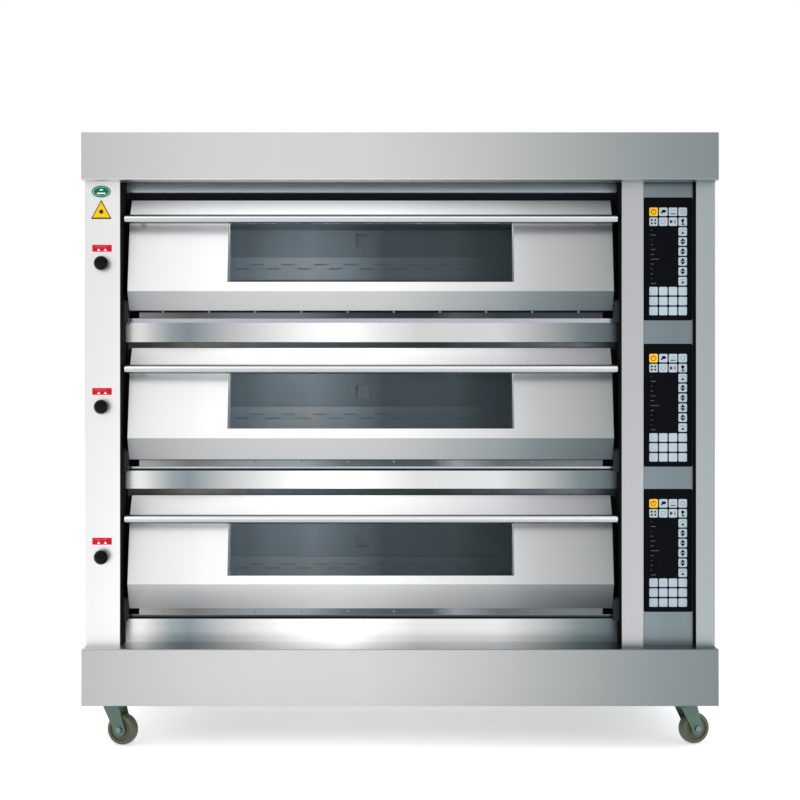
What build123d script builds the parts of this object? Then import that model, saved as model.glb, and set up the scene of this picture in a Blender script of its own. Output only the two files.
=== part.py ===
"""Three-deck electric oven on casters, as separate pieces.

Frame: X to the right, Y to the rear, Z up, millimetres. The origin is the middle of the
overall box, on the floor. The front of the hood and of the base is at Y = -DEPTH / 2, and
depths are measured back from that plane.
"""
from build123d import *
from math import hypot
import os

# ---- overall sizes -------------------------------------------------------------------------
WIDTH = 1650.0  # hood and base, side to side
DEPTH = 920.0  # hood and base, front to back
DECKS = ("bottom", "middle", "top")

# ---- heights, from the floor up ------------------------------------------------------------
WHEEL_RADIUS = 41.0
CASTER_HEADROOM = 36.0  # from the top of a wheel to the base
BASE_HEIGHT = 147.0
PLINTH_HEIGHTS = (61.0, 48.0, 52.0)  # below the bottom, middle and top door
DOOR_TOP = 328.0  # above the door's own sill
DOOR_TO_SILL = 67.4  # from a door's top to the next sill
DOOR_TO_HOOD = 35.0  # from the top door to the underside of the hood
HOOD_HEIGHT = 123.0

# ---- sheet metal ---------------------------------------------------------------------------
SHEET = 1.5  # casing
LINER = 2.0  # chamber plates
THIN = 1.2  # door liner, ducts and rails
BEND = 2.5  # outside radius of the casing's folds
SEAT = 0.3  # gap between pieces that lie on each other
OVERCUT = 5.0  # how far a cutting solid runs past a sheet

# ---- front columns -------------------------------------------------------------------------
COLUMN_DEPTH = 55.0  # how far the columns stand back under the hood
LEFT_COLUMN = 92.5
CONTROL_INNER = 57.8
CONTROL_OUTER = 50.5
COLUMN_RETURN = 60.0
COLUMN_INTO_HOOD = 121.2
BACKPLATE_LAP = 22.0
BACKPLATE_INTO_HOOD = 20.0
MOUTH_DEPTH = 188.0  # front of the chamber flanges

# ---- rails across the opening: distance forward of the chamber mouth ------------------------
PLINTH_OUT = 38.0
SILL_LIP = 11.0
SILL_LIP_BACK = 3.0
LINTEL_OUT = 23.0
LINTEL = (-14.0, 12.0)  # bottom and top, from the underside of the hood

# ---- door profile: distance forward of the chamber mouth, and height ------------------------
DOOR_GAPS = (13.8, 16.2)  # left and right, to the columns
DOOR_TOP_OUT = 16.0
CREASE_OUT = 56.0
CREASE_DROP = 53.0  # below the door's top
NOSE_OUT = 98.0
NOSE_HEIGHTS = (98.0, 88.0, 80.5)  # bottom, middle and top door, above each sill
TOE_OUT = 66.0
TOE_HEIGHT = 31.0
HINGE_OUT = 63.0
HINGE_HEIGHT = 50.0
HINGE_PIN = 5.0
HINGE_COLLAR = (9.0, 5.0)  # radius and length
HINGE_EAR = 12.0
BEARING_PLAY = 0.08
PRESS_FIT = 0.02
LINER_GAP = 4.3  # door liner to the chamber mouth
LINER_OUT = 48.0  # front edge of the liner's bottom channel
LINER_INSET = 24.0
LINER_BOTTOM = 12.0
LINER_CHANNEL = 22.0
LINER_STEP = (6.0, 30.0, 56.0)  # inward, and the two heights of the step
LINER_TOE_RISE = 12.0
END_CAP_FOOT = 60.0
WINDOW_WIDTH = 757.0
WINDOW_BOTTOMS = (120.0, 113.0, 105.0)  # above each sill
WINDOW_DROP = 13.0  # below the crease
WINDOW_LAP = 14.0
SIGHT_MARGIN = 10.0
GLASS = 4.0
HANDLE_RADIUS = 12.0
HANDLE_WALL = 1.5
HANDLE_STANDOFF = 44.0
HANDLE_DROP = 5.0  # below the crease
HANDLE_GAP = 3.0
HANDLE_DOME = 6.0
POST_RADIUS = 6.0
POST_IN = 34.0  # from each end of the door
SEAL = 10.0
SEAL_MARGIN = 3.0

# ---- baking chambers -----------------------------------------------------------------------
CHAMBER_SIDE = 46.35  # from the opening's side to the chamber, on average
CHAMBER_REAR = 75.5  # from the chamber's back to the rear panel's outer face
CHAMBER_FLOOR = 31.0
CEILING_DROP = 17.0  # below the door's top
HEARTH = 4.0
HEARTH_PLAY = 1.0
ELEMENT_RADIUS = 6.0
ELEMENTS = 6
ELEMENT_MARGIN = 50.0
ELEMENT_TAILS = 20.0
LOWER_SLAB = 8.0  # top of the insulation under each floor, above the sill
SLAB_COVER = 2.0
REAR_SLAB = 26.0
PORT = 40.0  # square exhaust port in the back wall
PORT_LEFT = 38.0  # from the window's middle to the port's middle
PORT_DROPS = (155.0, 98.0, 31.0)  # below each ceiling
GUARD_RISES = (41.0, 100.0, 158.0)  # bottoms of the rear guards, above each sill
GUARD_HEIGHT = 68.0
GUARD_OUT = 30.0
SLOT = (40.0, 4.0)
SLOT_PITCH = 95.0
SLOT_DROPS = (24.0, 37.0)  # from the guard's top to the bottom of each row

# ---- controls ------------------------------------------------------------------------------
KEY = 22.2
KEY_PITCH = (25.6, 26.1)
KEY_COLUMNS = 4
KEY_ROWS = 11
KEY_CORNER = 3.0
KEY_THICKNESS = 1.2
KEY_TRAVEL = 1.0
KEY_MARGINS = (26.1, 37.8, 24.7)  # key middles to the panel's sides, top and bottom
PANEL_DROPS = (9.6, 22.9, 33.2)  # panel middles below the middle of each deck's pitch
PANEL_THICKNESS = 2.0
PANEL_CORNER = 5.0
PANEL_GAPS = (3.0, 4.5)  # left and right, to the columns
CONTROL_RECESS = 28.0
KNOB_RADIUS = 19.0
KNOB_RISES = (174.0, 170.6, 149.8)  # above each sill
KNOB_STANDOFF = 3.0
ROD_RADIUS = 5.0

# ---- flue and rear -------------------------------------------------------------------------
REAR_INSET = 14.5
DUCT_WIDTH = 68.0
DUCT_MARGIN = 8.0
DUCT_OFF_COLUMN = 4.0
GATE_LAP = 6.0
GATE_ARM = (16.0, 4.0)  # width and thickness
OUTLET = (90.0, 20.0)  # bottom and top of the flue outlet, below the hood
OUTLET_IN = 12.0
LOUVRE_BANKS = (-500.0, 0.0, 500.0)
LOUVRE_ROWS = 14
LOUVRE = (220.0, 8.0)
LOUVRE_PITCH = 26.0
LOUVRE_RISE = 160.0
GLAND_RADIUS = 10.0
GLAND_IN = 125.0
GLAND_RISE = 65.0

# ---- casters -------------------------------------------------------------------------------
WHEEL_WIDTH = 32.0
AXLE_RADIUS = 5.0
KINGPIN_RADIUS = 6.0
KINGPIN_HEAD = (10.0, 6.0)
RACE_RADIUS = 26.0
RACE_DROP = 15.0  # bottom of the raceway, below the base
CROWN = 4.7
LEG = 3.0
LEG_TOP = 24.0  # half the width of a leg at the crown
LEG_BOSS = 17.0
LEG_PLAY = 1.5
TRAIL = 25.0
CASTER_PLATE = (104.0, 84.0, 4.0)
CASTER_IN = (69.0, 112.0)  # swivel axis from the side and from the front
BASE_RIM = 184.0  # ledge round the base's open top
CASTER_YAWS = {"front_left": -21.0, "front_right": 21.0, "rear_left": 14.0, "rear_right": -16.0}

# ---- worked out ----------------------------------------------------------------------------
FRONT = -DEPTH / 2
SIDE = WIDTH / 2
CASTER_HEIGHT = 2 * WHEEL_RADIUS + CASTER_HEADROOM
BASE_TOP = CASTER_HEIGHT + BASE_HEIGHT
DECK_PITCH = DOOR_TOP + DOOR_TO_SILL
SILLS = [BASE_TOP + PLINTH_HEIGHTS[0] + DECK_PITCH * i for i in range(len(DECKS))]
HOOD_BOTTOM = SILLS[-1] + DOOR_TOP + DOOR_TO_HOOD
HOOD_TOP = HOOD_BOTTOM + HOOD_HEIGHT
BACK = DEPTH - REAR_INSET  # depth of the rear panel's outer face
PANEL = (
    2 * KEY_MARGINS[0] + KEY_PITCH[0] * (KEY_COLUMNS - 1),
    KEY_MARGINS[1] + KEY_MARGINS[2] + KEY_PITCH[1] * (KEY_ROWS - 1),
)
OPEN_LEFT = -SIDE + LEFT_COLUMN
OPEN_RIGHT = SIDE - CONTROL_OUTER - sum(PANEL_GAPS) - PANEL[0] - CONTROL_INNER
DOOR_LEFT = OPEN_LEFT + DOOR_GAPS[0]
DOOR_RIGHT = OPEN_RIGHT - DOOR_GAPS[1]
DOOR_MIDDLE = (DOOR_LEFT + DOOR_RIGHT) / 2
CREASE = (MOUTH_DEPTH - CREASE_OUT, DOOR_TOP - CREASE_DROP)
NOSE_DEPTH = MOUTH_DEPTH - NOSE_OUT
TOE = (MOUTH_DEPTH - TOE_OUT, TOE_HEIGHT)
HINGE = (MOUTH_DEPTH - HINGE_OUT, HINGE_HEIGHT)
WINDOW = (DOOR_MIDDLE - WINDOW_WIDTH / 2, DOOR_MIDDLE + WINDOW_WIDTH / 2)
WINDOW_TOP = CREASE[1] - WINDOW_DROP
HANDLE_HEIGHT = CREASE[1] - HANDLE_DROP
LINER_BACK = MOUTH_DEPTH - LINER_GAP
LINER_FRONT = MOUTH_DEPTH - LINER_OUT
CHAMBER_WIDTH = OPEN_RIGHT - OPEN_LEFT - 2 * CHAMBER_SIDE
CHAMBER_LEFT = DOOR_MIDDLE - CHAMBER_WIDTH / 2
CHAMBER_RIGHT = DOOR_MIDDLE + CHAMBER_WIDTH / 2
CHAMBER_FRONT = MOUTH_DEPTH + LINER
CHAMBER_BACK = BACK - CHAMBER_REAR
CHAMBER_CEILING = DOOR_TOP - CEILING_DROP
UPPER_SLAB = CHAMBER_CEILING + LINER + 2 * ELEMENT_RADIUS + SLAB_COVER
SLAB_BACK = CHAMBER_BACK + LINER + REAR_SLAB
PORT_X = DOOR_MIDDLE - PORT_LEFT
PORT_HEIGHTS = [sill + CHAMBER_CEILING - drop for sill, drop in zip(SILLS, PORT_DROPS)]
KNOB_X = (-SIDE + OPEN_LEFT) / 2
KNOB_HEIGHTS = [sill + rise for sill, rise in zip(SILLS, KNOB_RISES)]
PANEL_LEFT = OPEN_RIGHT + CONTROL_INNER + PANEL_GAPS[0]
PANEL_DEPTH = COLUMN_DEPTH + CONTROL_RECESS
PANEL_BOTTOMS = [sill + DECK_PITCH / 2 - drop - PANEL[1] / 2 for sill, drop in zip(SILLS, PANEL_DROPS)]
GLAND = (SIDE - GLAND_IN, BASE_TOP + GLAND_RISE)
RACE_BOTTOM = CASTER_HEIGHT - RACE_DROP
CASTERS = {
    "front_left": (-SIDE + CASTER_IN[0], CASTER_IN[1]),
    "front_right": (SIDE - CASTER_IN[0], CASTER_IN[1]),
    "rear_left": (-SIDE + CASTER_IN[0], DEPTH - CASTER_IN[1]),
    "rear_right": (SIDE - CASTER_IN[0], DEPTH - CASTER_IN[1]),
}


# ---- shapes --------------------------------------------------------------------------------
def block(x, depth, z):
    """A box from three (low, high) pairs: X, depth behind the front plane, Z."""
    size = [high - low for low, high in (x, depth, z)]
    middle = Vector(sum(x) / 2, FRONT + sum(depth) / 2, sum(z) / 2)
    return Pos(middle) * Box(*size)


def bar_x(radius, x, depth, z):
    """A round bar along X."""
    return Pos(sum(x) / 2, FRONT + depth, z) * Rot(0, 90, 0) * Cylinder(radius, x[1] - x[0])


def bar_y(radius, x, depth, z):
    """A round bar along Y."""
    return Pos(x, FRONT + sum(depth) / 2, z) * Rot(90, 0, 0) * Cylinder(radius, depth[1] - depth[0])


def side_prism(outline, x):
    """A solid whose outline is given as (depth, Z) points, between two X values."""
    points = [(FRONT + depth, z) for depth, z in outline]
    face = Plane.YZ.offset(x[0]) * make_face(Polyline(*points, close=True))
    return extrude(face, x[1] - x[0])


def plan_prism(outline, z):
    """A solid whose outline is given as (X, depth) points, between two Z values."""
    points = [(x, FRONT + depth) for x, depth in outline]
    face = Plane.XY.offset(z[0]) * make_face(Polyline(*points, close=True))
    return extrude(face, z[1] - z[0])


def folded(path, wall):
    """The closed outline of a sheet that follows a path, its thickness on the path's left."""
    inside = []
    for i, (u, v) in enumerate(path):
        normals = []
        for a, b in ((i - 1, i), (i, i + 1)):
            if a < 0 or b >= len(path):
                continue
            du, dv = path[b][0] - path[a][0], path[b][1] - path[a][1]
            length = hypot(du, dv)
            normals.append((-dv / length, du / length))
        nu = sum(n[0] for n in normals) / len(normals)
        nv = sum(n[1] for n in normals) / len(normals)
        grow = wall / (nu * nu + nv * nv)
        inside.append((u + nu * grow, v + nv * grow))
    return list(path) + inside[::-1]


def above(sill, points):
    """Moves (depth, height above the sill) points to (depth, Z)."""
    return [(depth, sill + z) for depth, z in points]


def save(name, *solids):
    """Writes one node, as one solid or a group of separate ones."""
    shape = solids[0] if len(solids) == 1 else Compound(children=[s for s in solids])
    export_step(shape, f"parts/{name}.step")


# ---- casing --------------------------------------------------------------------------------
def make_hood():
    x, depth, z = (-SIDE, SIDE), (0.0, DEPTH), (HOOD_BOTTOM, HOOD_TOP)
    hood = block(x, depth, z)
    front_edges = hood.edges().filter_by(Axis.X).group_by(Axis.Y)[0]
    hood = fillet(front_edges + hood.edges().filter_by(Axis.Z).group_by(Axis.Y)[0], BEND)
    hollow = block((x[0] + SHEET, x[1] - SHEET), (SHEET, DEPTH - SHEET), (z[0] + SHEET, z[1] - SHEET))
    mouth = block(
        (x[0] + SHEET, x[1] - SHEET), (COLUMN_DEPTH - SEAT, DEPTH - SHEET), (z[0] - SHEET, z[0] + 2 * SHEET)
    )
    return hood - hollow - mouth


def make_base():
    x, z = (-SIDE, SIDE), (CASTER_HEIGHT, BASE_TOP)
    base = block(x, (0.0, DEPTH), z)
    front_edges = base.edges().filter_by(Axis.X).group_by(Axis.Y)[0]
    base = fillet(front_edges + base.edges().filter_by(Axis.Z).group_by(Axis.Y)[0], BEND)
    hollow = block((x[0] + SHEET, x[1] - SHEET), (SHEET, DEPTH - SHEET), (z[0] + SHEET, z[1] - SHEET))
    floor = (z[0] - SHEET, z[0] + 2 * SHEET)
    mouth = block((x[0] + BASE_RIM, x[1] - BASE_RIM), (BASE_RIM, DEPTH - BASE_RIM), floor)
    return base - hollow - mouth


def column(path, z):
    """A folded column, its front corners rounded."""
    sheet = plan_prism(folded(path, SHEET), z)
    corners = [
        e
        for e in sheet.edges().filter_by(Axis.Z)
        if any(hypot(e.center().X - x, e.center().Y - FRONT - COLUMN_DEPTH) < 0.01 for x, _ in path)
    ]
    return fillet(corners, BEND)


def make_columns():
    z = (BASE_TOP, HOOD_BOTTOM + COLUMN_INTO_HOOD)
    back = MOUTH_DEPTH - SEAT
    edge = COLUMN_DEPTH + COLUMN_RETURN
    left = column([(-SIDE, edge), (-SIDE, COLUMN_DEPTH), (OPEN_LEFT, COLUMN_DEPTH), (OPEN_LEFT, back)], z)
    in_hood = ((0.0, edge + OVERCUT), (HOOD_BOTTOM, HOOD_TOP))
    inset = SHEET + SEAT
    left -= block((-SIDE - OVERCUT, -SIDE + inset), *in_hood)
    for knob_z in KNOB_HEIGHTS:
        hole = (COLUMN_DEPTH - OVERCUT, COLUMN_DEPTH + OVERCUT)
        left -= bar_y(ROD_RADIUS + BEARING_PLAY, KNOB_X, hole, knob_z)
    recess = PANEL_DEPTH - SEAT
    inner_right = OPEN_RIGHT + CONTROL_INNER
    outer_left = SIDE - CONTROL_OUTER
    path = [(OPEN_RIGHT, back), (OPEN_RIGHT, COLUMN_DEPTH), (inner_right, COLUMN_DEPTH), (inner_right, recess)]
    inner = column(path, z)
    outer = column([(outer_left, recess), (outer_left, COLUMN_DEPTH), (SIDE, COLUMN_DEPTH), (SIDE, edge)], z)
    outer -= block((SIDE - inset, SIDE + OVERCUT), *in_hood)
    plate = block(
        (inner_right - BACKPLATE_LAP, outer_left + BACKPLATE_LAP),
        (PANEL_DEPTH, PANEL_DEPTH + SHEET),
        (BASE_TOP, HOOD_BOTTOM + BACKPLATE_INTO_HOOD),
    )
    save("column_left", left)
    save("control_columns", inner, outer)
    save("control_backplate", plate)


def make_panels():
    """Side panels, inner walls and the louvred rear panel."""
    z = (BASE_TOP, HOOD_BOTTOM)
    depth = (COLUMN_DEPTH + COLUMN_RETURN + SEAT, BACK - SHEET - SEAT)
    save(
        "side_panels",
        block((-SIDE, -SIDE + SHEET), depth, z),
        block((SIDE - SHEET, SIDE), depth, z),
    )
    depth = (MOUTH_DEPTH, BACK - SHEET - SEAT)
    left = block((OPEN_LEFT - SHEET, OPEN_LEFT), depth, z)
    right = block((OPEN_RIGHT, OPEN_RIGHT + SHEET), depth, z)
    for sill, port_z in zip(SILLS, PORT_HEIGHTS):
        left -= duct_space(port_z, 2 * SEAT)
        for bar in element_bars(sill, ELEMENT_RADIUS + SEAT):
            right -= bar
    save("inner_walls", left, right)

    rear = block((-SIDE, SIDE), (BACK - SHEET, BACK), z)
    through = (BACK - OVERCUT, BACK + OVERCUT)
    slots = []
    for bank in LOUVRE_BANKS:
        for row in range(LOUVRE_ROWS):
            low = BASE_TOP + LOUVRE_RISE + LOUVRE_PITCH * row
            slots.append(block((bank - LOUVRE[0] / 2, bank + LOUVRE[0] / 2), through, (low, low + LOUVRE[1])))
    slots.append(block(flue_x(-OUTLET_IN), through, (HOOD_BOTTOM - OUTLET[0], HOOD_BOTTOM - OUTLET[1])))
    slots.append(bar_y(GLAND_RADIUS + BEARING_PLAY, GLAND[0], through, GLAND[1]))
    save("rear_panel", rear - slots)


def hexagon(radius, depth):
    """A hexagonal nut on the gland's axis, between two depths."""
    plane = Plane(origin=(GLAND[0], FRONT + depth[0], GLAND[1]), z_dir=(0, 1, 0))
    return extrude(plane * RegularPolygon(radius, 6), depth[1] - depth[0])


def make_gland():
    """A cable gland through the rear panel, with its nut inside."""
    flange, cap, nut = 7.0, 6.5, 5.0
    x, z = GLAND
    barrel = bar_y(GLAND_RADIUS, x, (BACK - SHEET - 2 * nut, BACK + flange), z)
    head = hexagon(1.5 * GLAND_RADIUS, (BACK + SEAT, BACK + flange + SEAT))
    dome = bar_y(1.2 * GLAND_RADIUS, x, (BACK + flange, BACK + flange + cap), z)
    dome = fillet(dome.edges().group_by(Axis.Y)[-1], 0.3 * GLAND_RADIUS)
    bore = bar_y(0.6 * GLAND_RADIUS, x, (BACK - 4 * nut, BACK + 4 * nut), z)
    inside = BACK - SHEET - SEAT
    ring = hexagon(1.4 * GLAND_RADIUS, (inside - nut, inside))
    ring -= bar_y(GLAND_RADIUS + BEARING_PLAY, x, (inside - 2 * nut, BACK), z)
    save("cable_gland", barrel + head + dome - bore, ring)


def make_rails():
    """Plinths under the doors and the lintel under the hood, each a folded channel."""
    x = (OPEN_LEFT + SEAT, OPEN_RIGHT - SEAT)
    back = MOUTH_DEPTH - SEAT
    rails = []
    for sill, height in zip(SILLS, PLINTH_HEIGHTS):
        front = MOUTH_DEPTH - PLINTH_OUT
        lip = front + SILL_LIP_BACK
        path = [(back, SILL_LIP), (lip, SILL_LIP), (lip, 0.0), (front, 0.0)]
        path += [(front, -height), (back, -height)]
        rails.append(side_prism(folded(above(sill, path), THIN), x))
    low, high = HOOD_BOTTOM + LINTEL[0], HOOD_BOTTOM + LINTEL[1]
    front = MOUTH_DEPTH - LINTEL_OUT
    rails.append(side_prism(folded([(back, high), (front, high), (front, low), (back, low)], THIN), x))
    save("cross_rails", *rails)


# ---- chambers ------------------------------------------------------------------------------
def make_chamber(name, sill, port_z, ceiling_flange):
    """Flat plates: floor, ceiling, two walls, back and the four flanges of the mouth."""
    x = (CHAMBER_LEFT - LINER, CHAMBER_RIGHT + LINER)
    inner = (CHAMBER_LEFT, CHAMBER_RIGHT)
    depth = (CHAMBER_FRONT, CHAMBER_BACK)
    floor, ceiling = sill + CHAMBER_FLOOR, sill + CHAMBER_CEILING
    full = (depth[0], depth[1] + LINER)
    back = block(x, (depth[1], depth[1] + LINER), (floor, ceiling))
    back -= port_space(port_z, 0.0)
    flange = (MOUTH_DEPTH, CHAMBER_FRONT)
    edge = (OPEN_LEFT + SEAT, OPEN_RIGHT - SEAT)
    plates = [
        block(x, full, (floor - LINER, floor)),
        block(x, full, (ceiling, ceiling + LINER)),
        block((x[0], inner[0]), depth, (floor, ceiling)),
        block((inner[1], x[1]), depth, (floor, ceiling)),
        back,
        block((edge[0], inner[0]), flange, (sill + SILL_LIP, ceiling_flange)),
        block((inner[1], edge[1]), flange, (sill + SILL_LIP, ceiling_flange)),
        block(inner, flange, (ceiling, ceiling_flange)),
        block(inner, flange, (sill + SILL_LIP, floor)),
    ]
    save(f"chamber_{name}", *plates)


def port_space(port_z, grow):
    """The square way out through a chamber's back, right to the rear panel."""
    half = PORT / 2 + grow
    x = (PORT_X - half, PORT_X + half)
    return block(x, (CHAMBER_BACK - OVERCUT, BACK), (port_z - half, port_z + half))


def make_hearths_and_guards():
    """A loose steel hearth on each floor, and the slotted guard along each back wall."""
    hearths, guards = [], []
    back = CHAMBER_BACK
    x = (CHAMBER_LEFT + HEARTH_PLAY, CHAMBER_RIGHT - HEARTH_PLAY)
    for sill, rise in zip(SILLS, GUARD_RISES):
        top = sill + CHAMBER_FLOOR + HEARTH
        hearths.append(block(x, (CHAMBER_FRONT + HEARTH_PLAY, back - 2 * HEARTH_PLAY), (top - HEARTH, top)))
        low, high, front = sill + rise, sill + rise + GUARD_HEIGHT, back - GUARD_OUT
        guard = side_prism(folded([(back, high), (front, high), (front, low)], THIN), x)
        count = int((x[1] - x[0]) / SLOT_PITCH - 0.5)
        start = (x[0] + x[1] - SLOT_PITCH * (count - 0.5) - SLOT[0]) / 2
        slots = []
        for row, drop in enumerate(SLOT_DROPS):
            for i in range(count):
                left = start + SLOT_PITCH * (i + 0.5 * row)
                z = (high - drop, high - drop + SLOT[1])
                slots.append(block((left, left + SLOT[0]), (front - OVERCUT, front + OVERCUT), z))
        guards.append(guard - slots)
    save("hearth_plates", *hearths)
    save("rear_guards", *guards)


def element_bars(sill, radius):
    """The heating bars of one deck: one row under the floor and one over the ceiling."""
    pitch = (CHAMBER_BACK - CHAMBER_FRONT - 2 * ELEMENT_MARGIN) / (ELEMENTS - 1)
    x = (CHAMBER_LEFT + ELEMENT_TAILS, OPEN_RIGHT + ELEMENT_TAILS)
    bars = []
    for under in (sill + LOWER_SLAB, sill + CHAMBER_CEILING + LINER):
        z = under + ELEMENT_RADIUS + SEAT
        for i in range(ELEMENTS):
            bars.append(bar_x(radius, x, CHAMBER_FRONT + ELEMENT_MARGIN + pitch * i, z))
    return bars


def duct_space(z, grow):
    """The outside of one deck's horizontal exhaust duct."""
    half = PORT / 2 + DUCT_MARGIN + grow
    x = (flue_x(0)[1] + 2 * SHEET, PORT_X + half)
    return block(x, (SLAB_BACK + SEAT - grow, BACK), (z - half, z + half))


def flue_x(grow):
    """The sides of the upright duct, moved outward."""
    return (KNOB_X - DUCT_WIDTH / 2 - grow, KNOB_X + DUCT_WIDTH / 2 - DUCT_OFF_COLUMN + grow)


def make_elements_and_insulation():
    elements, slabs = [], []
    x = (OPEN_LEFT + SEAT, OPEN_RIGHT - SEAT)
    depth = (CHAMBER_FRONT + SEAT, SLAB_BACK)
    below = BASE_TOP + SEAT
    for sill, port_z in zip(SILLS, PORT_HEIGHTS):
        bars = element_bars(sill, ELEMENT_RADIUS)
        elements += bars
        low, high = sill + LOWER_SLAB, sill + UPPER_SLAB
        slabs.append(block(x, depth, (below, low)))
        below = high
        z = (low + SEAT, high - SEAT)
        slabs.append(block((x[0], CHAMBER_LEFT - LINER - SEAT), (depth[0], CHAMBER_BACK), z))
        right = block((CHAMBER_RIGHT + LINER + SEAT, x[1]), (depth[0], CHAMBER_BACK), z)
        slabs.append(right - element_bars(sill, ELEMENT_RADIUS + SEAT))
        rear = block(x, (CHAMBER_BACK + LINER + SEAT, SLAB_BACK), z)
        slabs.append(rear - port_space(port_z, THIN + SEAT))
    slabs.append(block(x, depth, (below, HOOD_BOTTOM + BACKPLATE_INTO_HOOD)))
    save("heating_elements", *elements)
    save("insulation", *slabs)


def make_flue():
    """Square port stubs, a horizontal duct per deck and one upright duct behind the left column."""
    front, back = SLAB_BACK - DUCT_MARGIN, BACK - SHEET - SEAT
    bottom = BASE_TOP + SEAT
    outlet = (HOOD_BOTTOM - OUTLET[0], HOOD_BOTTOM - OUTLET[1])
    upright = block(flue_x(0), (front, back), (bottom, HOOD_BOTTOM - SEAT))
    upright -= block(flue_x(-THIN), (front + THIN, back - THIN), (bottom + THIN, HOOD_BOTTOM + OVERCUT))
    upright -= block(flue_x(-OUTLET_IN), (back - OVERCUT, BACK), outlet)
    pieces = []
    for z in PORT_HEIGHTS:
        half = PORT / 2
        hollow = half + DUCT_MARGIN - THIN
        duct = duct_space(z, 0) - block((-SIDE, SIDE), (back, BACK + OVERCUT), (0.0, HOOD_TOP))
        inside = (SLAB_BACK + SEAT + THIN, back - THIN)
        duct -= block((flue_x(0)[1], PORT_X + hollow), inside, (z - hollow, z + hollow))
        through = (SLAB_BACK - OVERCUT, SLAB_BACK + OVERCUT)
        duct -= block((PORT_X - half, PORT_X + half), through, (z - half, z + half))
        wall = half + THIN
        stub = block((PORT_X - wall, PORT_X + wall), (CHAMBER_BACK + LINER, SLAB_BACK), (z - wall, z + wall))
        pieces += [duct, stub - port_space(z, 0.0)]
        side = (flue_x(0)[1] - OVERCUT, flue_x(0)[1] + OVERCUT)
        upright -= block(side, (SLAB_BACK + 2 * THIN, back - 2 * THIN), (z - half, z + half))
    save("flue_duct", upright, *pieces)


def make_damper(name, port_z, knob_z):
    """A ball knob on a long pull rod, with a cranked gate plate that covers the duct's end."""
    ball_depth = COLUMN_DEPTH - KNOB_RADIUS - KNOB_STANDOFF
    ball = Pos(KNOB_X, FRONT + ball_depth, knob_z) * Sphere(KNOB_RADIUS)
    socket = bar_y(ROD_RADIUS, KNOB_X, (ball_depth, ball_depth + KNOB_RADIUS + OVERCUT), knob_z)
    gate_front = SLAB_BACK - 2 * DUCT_MARGIN
    gate_left = flue_x(0)[1] + SHEET / 2
    gate_x = (gate_left, gate_left + SHEET)
    half = PORT / 2 + GATE_LAP
    width, thickness = GATE_ARM
    rod = bar_y(ROD_RADIUS, KNOB_X, (ball_depth, gate_front), knob_z)
    reach = (min(knob_z - width / 2, port_z - half), max(knob_z + width / 2, port_z + half))
    arm = block((KNOB_X - width / 2, gate_x[1]), (gate_front, gate_front + thickness), reach)
    gate = block(gate_x, (gate_front, BACK - SHEET - 3 * SEAT), (port_z - half, port_z + half))
    save(f"damper_{name}_knob", ball - socket)
    save(f"damper_{name}_rod", rod + arm + gate)


def make_electrics():
    """Per deck: a mounting rail with contactors and a terminal block, and the control board."""
    rail, contactor, terminals, board = 7.5, (77.5, 45.0, 76.0), (44.5, 100.0, 52.0), 21.7
    wall = OPEN_RIGHT + SHEET
    start = CHAMBER_FRONT + 2 * ELEMENT_MARGIN
    pieces = []
    for sill, panel_bottom in zip(SILLS, PANEL_BOTTOMS):
        z = sill + CHAMBER_CEILING / 2
        pieces.append(block((wall, wall + rail), (start - 20.0, start + 320.0), (z - 17.5, z + 17.5)))
        blocks = [(start + 62.0 * i, contactor) for i in range(3)] + [(start + 200.0, terminals)]
        for depth, (out, length, tall) in blocks:
            x = (wall + rail, wall + rail + out)
            pieces.append(block(x, (depth, depth + length), (z - tall / 2, z + tall / 2)))
        back = PANEL_DEPTH + SHEET + SEAT
        board_x = (PANEL_LEFT + 12.0, PANEL_LEFT + PANEL[0] - 12.0)
        board_z = (panel_bottom + 20.0, panel_bottom + PANEL[1] - 20.0)
        pieces.append(block(board_x, (back, back + board), board_z))
    save("electrics", *pieces)


# ---- control panels ------------------------------------------------------------------------
def key_places():
    """Middles of the keys from the panel's top left corner: (right, down), the power key first."""
    top, bottom, last = 2, KEY_ROWS - 3, KEY_COLUMNS - 1
    places = []
    for row in range(KEY_ROWS):
        full = row < top or row >= bottom
        for column in range(KEY_COLUMNS) if full else (last,):
            places.append((KEY_MARGINS[0] + KEY_PITCH[0] * column, KEY_MARGINS[1] + KEY_PITCH[1] * row))
    return places


def pad(size, x, z, depth):
    """A square pad with rounded corners, between two depths."""
    plane = Plane(origin=(x, FRONT + depth[1], z), x_dir=(1, 0, 0), z_dir=(0, -1, 0))
    face = plane * RectangleRounded(size, size, KEY_CORNER)
    return extrude(face, depth[1] - depth[0])


def make_controls():
    face = PANEL_DEPTH - PANEL_THICKNESS
    membranes, keys = [], []
    for name, bottom in zip(DECKS, PANEL_BOTTOMS):
        middle = (PANEL_LEFT + PANEL[0] / 2, FRONT + PANEL_DEPTH, bottom + PANEL[1] / 2)
        front = Plane(origin=middle, x_dir=(1, 0, 0), z_dir=(0, -1, 0))
        film = extrude(front * RectangleRounded(*PANEL, PANEL_CORNER), PANEL_THICKNESS)
        (right, down), *others = key_places()
        x, z = PANEL_LEFT + right, bottom + PANEL[1] - down
        film -= pad(KEY + 2 * SEAT, x, z, (face - OVERCUT, PANEL_DEPTH + OVERCUT))
        membranes.append(film)
        back = PANEL_DEPTH - SEAT - KEY_TRAVEL
        save(f"power_key_{name}", pad(KEY, x, z, (face - KEY_THICKNESS, back)))
        for right, down in others:
            x, z = PANEL_LEFT + right, bottom + PANEL[1] - down
            keys.append(pad(KEY, x, z, (face - KEY_THICKNESS, face)))
    save("control_membranes", *membranes)
    save("control_keys", *keys)


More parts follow.
